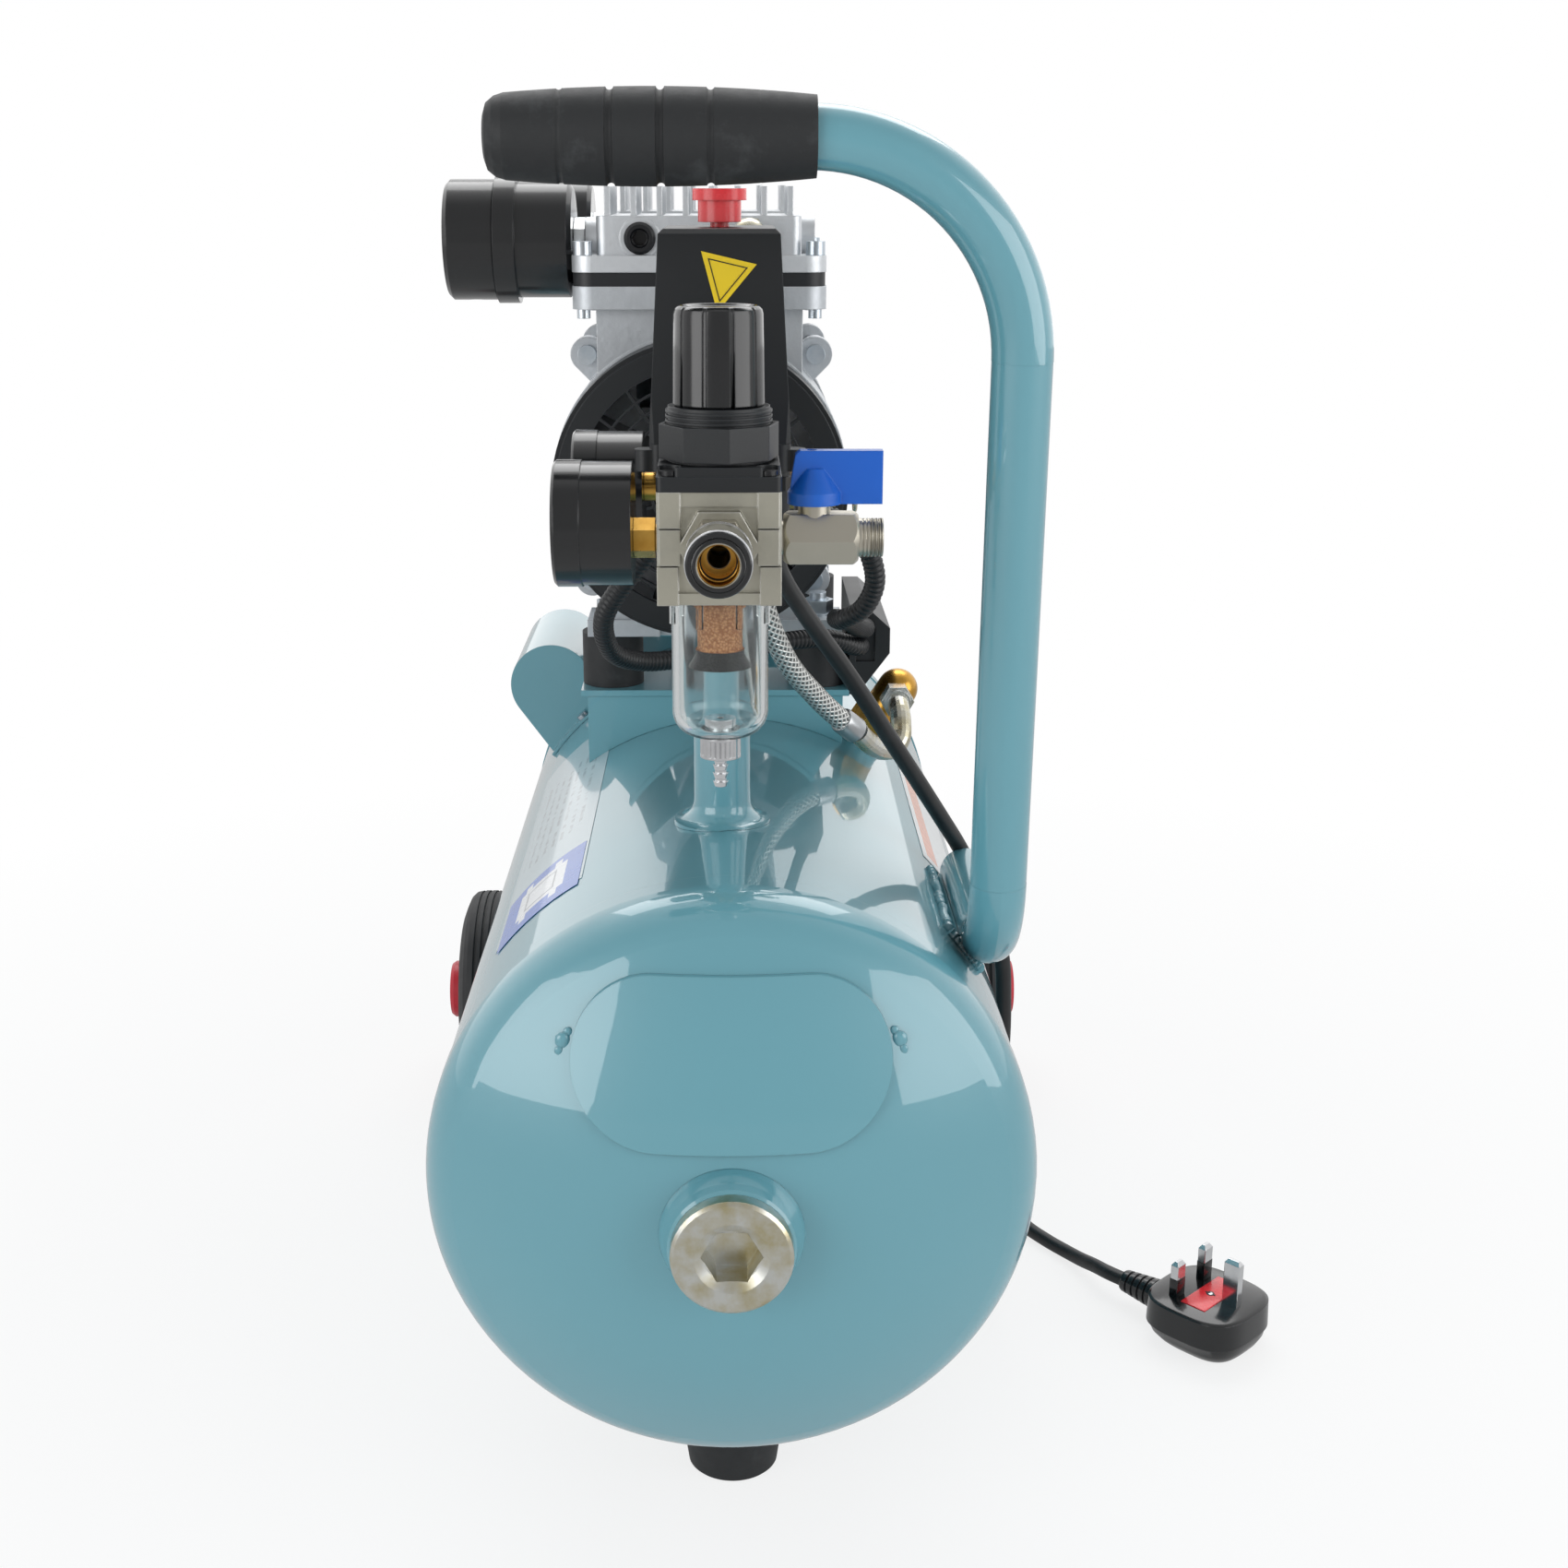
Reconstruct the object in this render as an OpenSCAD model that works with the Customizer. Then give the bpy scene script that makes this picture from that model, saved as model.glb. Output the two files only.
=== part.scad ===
// Portable oil-free air compressor: one horizontal air tank on a foot and two
// wheels, a bent carrying handle, a two-cylinder motor pump on rubber mounts,
// and the pressure switch with its filter regulator at the front.
// +X is the right-hand side seen from the regulator end, +Y runs to the wheel
// end, +Z is up. The origin is on the floor under the middle of the tank.

/* [Tank] */
// Outside diameter of the tank
tank_d = 230; // [210:1:245]
// Length of the tank between the two end seams
tank_len = 450; // [430:1:480]
// Wall thickness of the tank
tank_wall = 2.5; // [1.5:0.1:4]
// Height of the tank's underside above the floor
tank_lift = 41; // [36:1:60]
// Depth of each domed end beyond its skirt
dome_depth = 50; // [42:1:60]
// Width of the skirt of each domed end
skirt_w = 10; // [6:1:16]
// Knuckle radius of the domed ends
knuckle_r = 25; // [18:1:34]
// Width of the welded plate on the front end
plate_w = 115; // [80:1:125]
// Height of that plate
plate_h = 60; // [40:1:64]
// Thickness of that plate
plate_t = 2; // [1:0.1:3]

/* [Foot and wheels] */
// Diameter of the rubber foot at the floor
foot_d = 37; // [30:1:44]
// Diameter of the rubber foot at the top
foot_top_d = 47; // [40:1:56]
// Distance from the front seam back to the foot
foot_back = 35; // [30:1:80]
// Diameter of the wheels
wheel_d = 116; // [108:1:122]
// Width of a tyre
tyre_w = 28; // [24:1:32]
// Overall width across the wheels
wheel_span = 330; // [318:1:360]
// Distance from the rear seam forward to the wheel axis
wheel_fwd = 38; // [30:1:60]
// Diameter of the wheel bolts
axle_d = 12; // [10:0.5:14]

/* [Handle] */
// Outside diameter of the handle tube
handle_d = 21.3; // [18:0.1:26]
// Wall of the handle tube
handle_wall = 2.3; // [1.5:0.1:3.5]
// Distance of the handle tube to the right of the tank's middle
handle_x = 100; // [94:1:104]
// Height of the middle of the grip above the floor
grip_z = 530.3; // [515:0.1:560]
// Bend radius at the top of the handle
top_bend_r = 73; // [56:1:76]
// Bend radius at the foot of the handle
low_bend_r = 35; // [30:1:44]
// Forward lean of the handle in degrees
handle_lean = 4; // [0:0.5:5]
// Diameter of the grip at its middle
grip_d = 31.5; // [28:0.5:36]
// Length of the grip
grip_len = 109; // [90:1:112]

/* [Pump] */
// Height of the crank axis above the tank's top
pump_h = 113; // [108:1:130]
// Distance of the crank axis from the tank's middle
pump_x = -13.5; // [-18:0.5:0]
// Distance from a cylinder's axis to the open face of its crankcase
cyl_in = 30.5; // [30:0.5:32]
// Diameter of the fan covers
fan_d = 132; // [126:1:142]
// Distance between the two cylinders
cyl_pitch = 134; // [130:1:140]
// Bore of the cylinders
cyl_d = 50; // [42:1:54]
// Width of the cylinder heads
head_w = 113; // [100:1:118]
// Depth of the cylinder heads
head_l = 72; // [66:1:80]
// Height of the cylinder flange underside above the crank axis
flange_h = 77.5; // [74:0.5:90]
// Diameter of the rubber mounts
mount_d = 29; // [24:1:34]
// Height of the rubber mounts
mount_h = 25; // [20:1:32]
// Diameter of the intake filters
filter_d = 53; // [46:1:58]
// Length of the intake filters
filter_len = 55; // [46:1:62]

/* [Switch and regulator] */
// Distance from the front seam back to the riser post
post_back = 73; // [66:1:80]
// Diameter of the riser post
post_d = 22.5; // [18:0.5:26]
// Width of the switch box at its foot
switch_w = 52; // [46:1:56]
// Depth of the switch box
switch_l = 66; // [56:1:70]
// Height of the switch cover
switch_h = 76; // [66:1:84]
// Height of the regulator's port axis above the floor
port_z = 399.5; // [397:0.5:403]
// Width of the regulator body
reg_w = 41.7; // [38:0.1:44]
// Height of the regulator body
reg_h = 38; // [36:1:40]
// Diameter of the regulator knob
knob_d = 30.8; // [26:0.1:32]
// Height of the regulator knob
knob_h = 32.5; // [28:0.5:40]
// How far the knob lifts to unlock
knob_lift = 4; // [2:0.5:4.5]
// Outside diameter of the clear bowl
bowl_d = 33.6; // [30:0.1:36]
// Length of the clear bowl below the body
bowl_h = 50; // [44:1:56]
// Wall of the clear bowl
bowl_wall = 2.4; // [1.5:0.1:3]
// Diameter of the gauges
gauge_d = 43; // [38:1:46]
// Length of a gauge case
gauge_l = 26.7; // [22:0.1:30]
// Bore of the quick coupler
coupler_bore = 13.7; // [12:0.1:14]
// Diameter of the coupler sleeve
sleeve_d = 22.2; // [20:0.1:24]
// Travel of the coupler sleeve
sleeve_travel = 4; // [2:0.5:4.5]
// Outside diameter of the ball valve's thread
outlet_d = 13.16; // [12:0.02:14]
// Travel of the red switch knob
switch_travel = 6; // [3:0.5:8]

/* [Hidden] */
$fn = 64;

fit = 0.05;      // radial clearance of a piece that turns or slides on another
gap = 0.3;       // clearance between neighbours that only lie close
eps = 0.01;      // overshoot of a cut beyond a face

// paint colours
teal = "#6fa3ae";
black = "#1b1c1e";
zinc = "#c3c7ca";
cast = "#b9bcbf";
brassy = "#c9a25a";

// tank
tank_r = tank_d/2;
axis_z = tank_lift + tank_r;
top_z = axis_z + tank_r;
seam_y = tank_len/2;
lap = 0.6;                               // the ends stand this proud of the shell
end_r = tank_r + lap;
crown_r = ((end_r - knuckle_r)^2 + dome_depth^2 - knuckle_r^2)/(2*(dome_depth - knuckle_r));
apex_y = seam_y + skirt_w + dome_depth;
crown_y = apex_y - crown_r;              // centre of the front crown is at -crown_y
boss_d = 46;
boss_y = apex_y + 9;                     // outer face of the end bosses
plug_d = 43.7;
plug_y = apex_y + 15.5;                  // outer face of the end plugs
plug_thread_d = 33.2;
plug_hex = 19;
plate_up = 61.5;                         // middle of the name plate above the tank axis

// foot
foot_y = -seam_y + foot_back;
foot_h = tank_lift - 2.5;
foot_bolt_d = 8;
foot_pocket = 11.4;                      // depth of the bolt's pocket in the foot
pad_d = 34;

// wheels
wheel_y = seam_y - wheel_fwd;
wheel_z = wheel_d/2;
hub_out = 9;                             // the hub's cap stands this far out of the tyre
wheel_in = wheel_span/2 - hub_out - tyre_w;   // inner face of a tyre
hub_d = 84;
hub_boss_out = wheel_span/2 - 10;        // floor of the pocket in the hub's cap
bracket_x = wheel_in - 10;               // outer face of a wheel bracket
bracket_t = 4;
bracket_w = 44;

// handle
stub_r = tank_r + handle_d/2 + fit;
stub_z = axis_z + sqrt(stub_r^2 - handle_x^2);
stub_rear_y = -seam_y + 117;
stub_len = 71;
low_turn = 90 - handle_lean;
bend_y = stub_rear_y - stub_len;
rise_y = bend_y - low_bend_r*sin(low_turn);
rise_z = stub_z + low_bend_r*(1 - cos(low_turn));
rise_len = (grip_z - rise_z)/cos(handle_lean) - top_bend_r;
grip_end_x = handle_x - top_bend_r + 2;  // right-hand end of the grip
bar_len = grip_len - 6;

// pump
pump_z = top_z + pump_h;
pump_y = 92;
cover_t = 3;
cover_l = 25;                            // depth of a fan cover
case_r = fan_d/2 + 1;
case_in_r = 61;
cyl_y = cyl_pitch/2;                     // cylinder axis from the pump's middle
case_y = cyl_y + cyl_in;                 // front face of a crankcase from the pump's middle
pump_len = 2*(case_y + cover_l);         // overall length across both fan covers
case_l = 62;
stator_l = 2*(case_y - case_l);
flange_z = pump_z + flange_h;            // underside of the cylinder flange
flange_t = 10;
plate_z = flange_z + flange_t;           // underside of the valve plate
valve_t = 6;
head_z = plate_z + valve_t;
head_flange_t = 7.2;
head_plug_d = 14;
head_plug_up = head_flange_t + head_plug_d/2 + gap;   // its disc clears the flange
head_block_t = 24;
fin_h = 12.5;
fin_t = 2.6;
fin_pitch = 11.5;
block_w = 92;
block_l = head_l - 12;
shaft_d = 14;
bearing_d = 32;
web_t = 12;                              // bearing wall of a crankcase
web_in = 39;                             // its outer face, from the crankcase's front face
throw = 6;
eccentric_d = 22;
tie_r = 76;                              // tie bolts around the crank axis
tie_d = 5;
head_bolt_d = 6;
head_bolt_x = head_w/2 - 5;
head_bolt_y = head_l/2 - 6.5;
filter_z = head_z + 13;
port_x = pump_x - 51.5;                   // face of the intake port

// saddles and mounts
saddle_x = -7.5;
saddle_w = 127;
saddle_t = 3;
saddle_l = 46;
mount_bolt_d = 8;
mount_pitch_x = 98;
mount_y = 70;                            // mounts from the pump's middle
foot_plate_t = 8;
foot_drop = 7;
foot_plate_z = pump_z - case_r - foot_drop;
mount_z = foot_plate_z - mount_h;        // top face of the saddles

// post, manifold, switch
post_x = -3.5;
post_y = -seam_y + post_back;
block_z = port_z + 4.5;                  // axis of the manifold's side ports
block_s = 30;
block_h = 24;
block_low = block_z - 16;                // underside of the manifold block
base_z = block_low + block_h + 2;        // underside of the switch base
base_t = 10;
cover_z = base_z + base_t;
switch_top = cover_z + switch_h;
stem_d = 7;

// regulator
reg_x = post_x;
reg_y = -seam_y - 17;
reg_z = port_z - 19.5;                   // underside of the body
bonnet_z = reg_z + reg_h;
bonnet_t = 8;
neck_d = 36;
nut_z = bonnet_z + 5;
nut_h = 15.5;
knob_z = bonnet_z + 26.5;
screw_d = 8;
port_d = 11.6;
coupler_face = -apex_y - 10;
gauge_z = port_z + 5;
gauge_back_x = reg_x - reg_w/2 - 8.5;
bezel_l = 9.5;
valve_x = reg_x + reg_w/2 + 1;           // inner end of the ball valve's hexagon
valve_af = 17;
valve_l = 25.5;
thread_l = 8.4;
stem_x = valve_x + 10.5;
ball_d = 12.4;
lever_z = port_z + 11.8;
lever_h = 18;
lever_len = 32;
lever_t = 5.5;
lever_hub_d = 18.5;
safety_x = post_x + block_s/2;

// hose, check valve, conduits
check_turn = 33.3;                       // lean of the check valve from upright
check_y = 29;
check_base = tank_r + 7;
check_stub_d = 12;
check_port = 23;                         // side port above the valve's base
hose_d = 10;
conduit_d = 9;
conduit_starts = [[-24, post_y + 20, base_z - 12], [18, post_y + 26, base_z - 12]];

// power cord
cord_d = 7;
coil_mid_d = 78;
coil_rows = 2;
coil_x = 12;
coil_y = 42;
coil_d = coil_mid_d + 2*cord_d + 0.5;
cord_exit = [17, post_y - 20, 386];
cord_top_path = [cord_exit, [17.6, post_y - 19.8, 379],
    [20.5, post_y - 18.6, 371], [26, post_y - 16.5, 361.5], [33.5, post_y - 13.5, 350],
    [43, post_y - 8.5, 336], [52.5, post_y - 3, 321], [63, post_y + 4, 303.5],
    [71, post_y + 12, 290], [80, post_y + 22, 274.5], [89, post_y + 34, 258.5],
    [98.5, post_y + 48, 241], [106, -99, 226], [113, -96, 210], [119, -93, 190], [121.5, -90, 164], [122, -86, 130],
    [122, -81, 96], [123, -75, 62], [123, -66, 32], [121, -54, 13],
    [116, -42, 5], [104, -30, 3.9], [88, -25, 3.6], [72, -20, 3.6],
    [60, -8, 3.6], [55, 6, 3.6], [54.5, 16.5, 3.6]];
cord_low_path = [[54.5, 67.5, 9], [56, 76, 6.5], [64, 86, 4], [80, 92, 3.6],
    [98, 89, 3.6], [115, 78, 3.6], [129, 59, 3.6], [140, 32, 3.6],
    [149, 0, 3.6], [158, -16, 3.6], [166, -28, 4], [172, -40, 6],
    [176.5, -51, 9], [181.4, -61.3, 11], [187.64, -67.74, 11]];
plug_x = 213;
plug_y0 = -94;
plug_turn = -46;
plug_t = 23;
strain_l = 24;
pin_pitch = 22.2;

// ---------- helpers ----------

// a straight tube with its axis up
module pipe(d, bore, h) {
    difference() {
        cylinder(d = d, h = h);
        translate([0, 0, -1]) cylinder(d = bore, h = h + 2);
    }
}

// a hexagonal prism by its width across flats
module hex(af, h) {
    cylinder(d = af/cos(30), h = h, $fn = 6);
}

// a rectangle with round corners, drawn flat
module round_rect(w, l, r) {
    union() {
        square([w - 2*r, l], center = true);
        square([w, l - 2*r], center = true);
        for (sx = [-1, 1], sy = [-1, 1])
            translate([sx*(w/2 - r), sy*(l/2 - r)]) circle(r);
    }
}

// a plate with round corners
module slab(w, l, h, r) {
    linear_extrude(h) round_rect(w, l, r);
}

// children laid at both ends: as made at -Y, and turned round at +Y
module both_ends() {
    children();
    rotate([0, 0, 180]) children();
}

// children copied to the front and rear half of the pump, in its own frame
module pump_halves() {
    translate([pump_x, pump_y, 0]) {
        children();
        mirror([0, 1, 0]) children();
    }
}

function dist(a, b) = norm(a - b);
function unit(v) = v/norm(v);

// points on a smooth curve through the route's points
function spline_point(p, i, t) = let (
    n = len(p),
    a = p[max(i - 1, 0)], b = p[i], c = p[i + 1], d = p[min(i + 2, n - 1)])
    0.5*(2*b + (c - a)*t + (2*a - 5*b + 4*c - d)*t^2 + (3*b - a - 3*c + d)*t^3);
function smooth(p, steps) = concat(
    [for (i = [0:len(p) - 2], s = [0:steps - 1]) spline_point(p, i, s/steps)],
    [p[len(p) - 1]]);

// a sideways direction at every ring that never twists about the route
function heading(p, i) = unit(p[min(i + 1, len(p) - 1)] - p[max(i - 1, 0)]);
function level(v, t) = unit(v - t*(v*t));
function sides_from(p, i, v) = let (s = level(v, heading(p, i)))
    i == len(p) - 1 ? [s] : concat([s], sides_from(p, i + 1, s));

// a closed tube of diameter d along the points, cut square at both ends
module route(p, d, sides) {
    n = len(p);
    first = heading(p, 0);
    side = sides_from(p, 0, abs(first[0]) < 0.8 ? [1, 0, 0] : [0, 1, 0]);
    rings = [for (i = [0:n - 1], k = [0:sides - 1])
        let (t = heading(p, i), u = side[i], w = cross(t, u), a = 360*k/sides)
        p[i] + d/2*(u*cos(a) + w*sin(a))];
    walls = [for (i = [0:n - 2], k = [0:sides - 1])
        let (a = i*sides + k, b = i*sides + (k + 1)%sides)
        [a, a + sides, b + sides, b]];
    polyhedron(rings, concat([[for (k = [0:sides - 1]) k]], walls,
        [[for (k = [sides - 1:-1:0]) (n - 1)*sides + k]]), convexity = 8);
}

// ---------- tank ----------

// half outline of a domed end: radius across, depth up from the seam
module dome_outline(r, rk, depth) {
    rc = ((r - rk)^2 + depth^2 - rk^2)/(2*(depth - rk));
    cy = skirt_w + depth - rc;
    kx = r - rk;
    slope = unit([kx, skirt_w - cy]);
    far = slope*rc*1.3;
    square([r, skirt_w]);
    intersection() {
        translate([0, cy]) circle(rc, $fn = 360);
        polygon([[0, cy], [far[0], cy + far[1]], [0, cy + rc*1.3]]);
        square([r, skirt_w + depth]);
    }
    intersection() {
        translate([kx, skirt_w]) circle(rk, $fn = 120);
        polygon([[kx, skirt_w], [kx + 2*rk, skirt_w], [kx + 2*rk, skirt_w + 2*rk],
            [kx + slope[0]*2*rk, skirt_w + slope[1]*2*rk]]);
    }
}

// a domed end filled solid, at the front, grown outwards by a margin
module dome_solid(grow) {
    translate([0, -seam_y, axis_z]) rotate([90, 0, 0])
        rotate_extrude($fn = 180) dome_outline(end_r + grow, knuckle_r + grow, dome_depth + grow);
}

module tank_bore(grow) {
    translate([0, -seam_y - 1, axis_z]) rotate([-90, 0, 0])
        cylinder(r = tank_r + grow, h = tank_len + 2, $fn = 180);
}

module tank_shell() {
    color(teal) difference() {
        translate([0, -seam_y, axis_z]) rotate([-90, 0, 0])
            cylinder(r = tank_r, h = tank_len, $fn = 180);
        tank_bore(-tank_wall);
        translate([post_x, post_y, axis_z]) cylinder(d = post_d - 6, h = tank_r + 1);
        translate([0, check_y, axis_z]) rotate([0, check_turn, 0])
            cylinder(d = check_stub_d + 2*fit, h = tank_r + 1);
        translate([0, drain_y, 0]) cylinder(d = 10, h = axis_z);
    }
}

module tank_heads() {
    nib_r = tank_r - tank_wall - fit;
    color(teal) both_ends() translate([0, -seam_y, axis_z]) rotate([90, 0, 0])
        difference() {
            rotate_extrude($fn = 180) {
                difference() {
                    dome_outline(end_r, knuckle_r, dome_depth);
                    translate([-1, -1]) square([end_r - tank_wall + 1, 1 + eps]);
                    dome_outline(end_r - tank_wall, knuckle_r - tank_wall, dome_depth - tank_wall);
                }
                translate([nib_r - tank_wall, -12]) square([tank_wall, 15]);
                translate([nib_r - tank_wall, 0]) square([end_r - nib_r + tank_wall, 3]);
            }
            cylinder(d = plug_thread_d + 2*fit, h = 2*dome_depth + 2*skirt_w);
        }
}

drain_y = 122;
drain_d = 13;
drain_z = tank_lift - 15;

// a wheel bracket on the right-hand side: an end plate and two webs
module wheel_bracket() {
    low = tank_lift + 2;
    high = wheel_z + 32;
    difference() {
        union() {
            translate([bracket_x - bracket_t, wheel_y - bracket_w/2, low])
                cube([bracket_t, bracket_w, high - low]);
            for (s = [-1, 1])
                translate([60, wheel_y + s*(bracket_w/2 - 1.5) - 1.5, low])
                    cube([bracket_x - 60 - eps, 3, high - low]);
        }
        tank_bore(fit);
        translate([bracket_x - 10, wheel_y, wheel_z]) rotate([0, 90, 0])
            cylinder(d = axle_d + 0.4, h = 20);
    }
}

// everything that is welded to the tank: end bosses, plate, pads and brackets
module tank_fittings() {
    color(teal) {
        both_ends() difference() {
            translate([0, -boss_y, axis_z]) rotate([-90, 0, 0])
                rotate_extrude() difference() {
                    polygon([[0, 0], [boss_d/2 - 1, 0], [boss_d/2, 1], [boss_d/2 + 1, 4],
                        [boss_d/2 + 2.6, 8], [boss_d/2 + 3.6, 11.5], [boss_d/2 + 4.6, 19], [0, 19]]);
                    square([plug_thread_d/2 + fit, 40], center = true);
                }
            dome_solid(fit);
            translate([0, -boss_y - 1, axis_z]) rotate([-90, 0, 0])
                cylinder(d = plug_thread_d + 2*fit, h = 30);
        }
        name_plate();
        difference() {
            translate([0, foot_y, foot_h]) pipe(pad_d, foot_bolt_d + 0.4, 9);
            tank_bore(fit);
        }
        wheel_bracket();
        mirror([1, 0, 0]) wheel_bracket();
        difference() {
            translate([0, check_y, axis_z]) rotate([0, check_turn, 0])
                translate([0, 0, tank_r - 4]) pipe(24, check_stub_d + 2*fit, 11);
            tank_bore(fit);
        }
        difference() {
            translate([0, drain_y, tank_lift - 5]) pipe(20, 10.1, 9);
            tank_bore(fit);
        }
        handle_welds();
    }
}

// the plate on the front end: a long oval bent to the crown of the dome
module name_plate() {
    r = plate_h/2;
    intersection() {
        translate([0, -apex_y - 5, axis_z + plate_up]) rotate([-90, 0, 0]) linear_extrude(80)
            union() {
                square([plate_w - 2*r, plate_h], center = true);
                for (s = [-1, 1]) translate([s*(plate_w/2 - r), 0]) circle(r, $fn = 96);
            }
        translate([0, -crown_y, axis_z]) difference() {
            sphere(crown_r + fit + plate_t, $fn = 180);
            sphere(crown_r + fit, $fn = 180);
        }
    }
}

// fillet welds on both sides of the line where the handle lies on the tank
module handle_welds() {
    lean = atan2(handle_x, stub_z - axis_z);
    translate([0, stub_rear_y - stub_len - 6, axis_z]) rotate([-90, 0, 0])
        linear_extrude(stub_len + 2) mirror([0, 1]) difference() {
            rotate(-lean) translate([0, tank_r + 1.6]) square([14, 3.6], center = true);
            circle(tank_r + fit, $fn = 180);
            translate([handle_x, stub_z - axis_z]) circle(d = handle_d + 2*fit);
        }
}

// a round plug with a hexagon socket, its face up at z = 0
module socket_plug(d, t, af, thread_d, thread_l) {
    difference() {
        union() {
            translate([0, 0, -t]) cylinder(d = d, h = t - 1.2);
            translate([0, 0, -1.2]) cylinder(d1 = d, d2 = d - 2.4, h = 1.2);
            translate([0, 0, -t - thread_l]) cylinder(d = thread_d, h = thread_l + eps);
        }
        translate([0, 0, -0.7*(t + thread_l)]) hex(af, t + thread_l);
        translate([0, 0, -1.8]) cylinder(d1 = af + 1, d2 = af*1.42, h = 1.81);
    }
}

module socket_plugs() {
    color(zinc) both_ends() translate([0, -plug_y, axis_z]) rotate([90, 0, 0])
        socket_plug(plug_d, plug_y - boss_y, plug_hex, plug_thread_d, 12);
    color(black) pump_halves() translate([-26, -cyl_y - block_l/2 - 4, head_z + head_plug_up]) rotate([90, 0, 0])
        socket_plug(head_plug_d, 2.9, 6, 9.9, 8);
}

// ---------- foot and wheels ----------

module front_foot() {
    color(black) translate([0, foot_y, 0]) difference() {
        rotate_extrude() polygon([[0, 0], [foot_d/2 - 1, 0], [foot_d/2, 1],
            [foot_top_d/2, foot_h - 3], [foot_top_d/2, foot_h - gap], [0, foot_h - gap]]);
        translate([0, 0, -1]) cylinder(d = 20, h = foot_pocket + 1);
        cylinder(d = foot_bolt_d + 0.4, h = foot_h + 1);
    }
}

// a wheel lies on its side here: its inner face at z = 0, its outer face up
module wheel_place(side) {
    translate([side*wheel_in, wheel_y, wheel_z]) rotate([0, side*90, 0]) children();
}

module tyre() {
    r = wheel_d/2;
    color(black) difference() {
        rotate_extrude() polygon([[hub_d/2 - 3, 2], [hub_d/2, 0.6], [hub_d/2 + 4, 0], [r - 8, 1.4],
            [r - 3, 3.6], [r - 0.8, 6], [r, tyre_w*0.36], [r, tyre_w*0.64], [r - 0.8, tyre_w - 6],
            [r - 3, tyre_w - 3.6], [r - 8, tyre_w - 1.4], [hub_d/2 + 4, tyre_w],
            [hub_d/2, tyre_w - 0.6], [hub_d/2 - 3, tyre_w - 2]]);
        for (z = [tyre_w*0.36, tyre_w*0.5, tyre_w*0.64])
            translate([0, 0, z - 0.8]) pipe(wheel_d + 4, wheel_d - 2.4, 1.6);
        translate([0, 0, -1]) cylinder(d = hub_d, h = tyre_w + 2);
    }
}

module hub() {
    spoke_r = hub_d/2 - 4;
    boss_top = tyre_w + hub_out;
    color("#b3202c") difference() {
        union() {
            translate([0, 0, 3]) pipe(hub_d - 0.1, hub_d - 8, tyre_w - 6);
            translate([0, 0, tyre_w/2 - 3]) cylinder(d = hub_d - 6, h = 6);
            translate([0, 0, 1]) cylinder(d = 33, h = boss_top - 3);
            translate([0, 0, boss_top - 2.01]) cylinder(d1 = 33, d2 = 30, h = 2.01);
            for (k = [0:5]) rotate(60*k) translate([12, -2, tyre_w/2])
                cube([spoke_r - 11, 4, tyre_w/2 - 7]);
        }
        translate([0, 0, -1]) cylinder(d = axle_d + 2*fit, h = boss_top + 2);
        translate([0, 0, hub_boss_out - wheel_in]) cylinder(d = axle_d*2 + 1, h = 20);
        for (k = [0:5]) rotate(60*k + 30) translate([27, 0, -1]) cylinder(d = 12, h = tyre_w + 2);
    }
}

module tyre_left() { wheel_place(-1) tyre(); }
module tyre_right() { wheel_place(1) tyre(); }
module hub_left() { wheel_place(-1) hub(); }
module hub_right() { wheel_place(1) hub(); }

// the wheel bolt: head outside the hub, nut inside the bracket
module wheel_bolt() {
    inner = bracket_x - bracket_t;
    translate([inner - 10, wheel_y, wheel_z]) rotate([0, 90, 0]) {
        cylinder(d = axle_d, h = hub_boss_out + 2 - inner + 10);
        translate([0, 0, 1]) hex(axle_d*1.5, 9);
        translate([0, 0, hub_boss_out + gap - inner + 10]) {
            cylinder(d = axle_d*2, h = 1.5);
            translate([0, 0, 1.5]) hex(axle_d*1.5, 6);
        }
        translate([0, 0, bracket_t + 10]) cylinder(d = axle_d*1.5, h = wheel_in - bracket_x + 1 - gap);
    }
}

// ---------- handle ----------

// the bent tube's path, solid; over lengthens both open ends. The straight
// lengths are a hair thinner than the bends and reach a little way into them.
module handle_path(d, over) {
    reach = 0.3;
    thin = d - 0.2;
    translate([handle_x, stub_rear_y + over, stub_z]) rotate([90, 0, 0])
        cylinder(d = thin, h = stub_len + over + reach);
    translate([handle_x, bend_y, stub_z + low_bend_r]) rotate([0, 90, 180])
        rotate_extrude(angle = low_turn) translate([low_bend_r, 0]) circle(d = d);
    handle_rise() {
        translate([0, 0, -reach]) cylinder(d = thin, h = rise_len + 2*reach);
        translate([-top_bend_r, 0, rise_len]) rotate([90, 0, 0])
            rotate_extrude(angle = 90) translate([top_bend_r, 0]) circle(d = d);
        translate([reach - top_bend_r, 0, rise_len + top_bend_r]) rotate([0, -90, 0])
            cylinder(d = thin, h = bar_len + over + reach);
    }
}

// the leaning frame at the foot of the upright tube
module handle_rise() {
    translate([handle_x, rise_y, rise_z]) rotate([handle_lean, 0, 0]) children();
}

module handle_tube() {
    color(teal) difference() {
        handle_path(handle_d, 0);
        handle_path(handle_d - 2*handle_wall, 1);
    }
}

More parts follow.
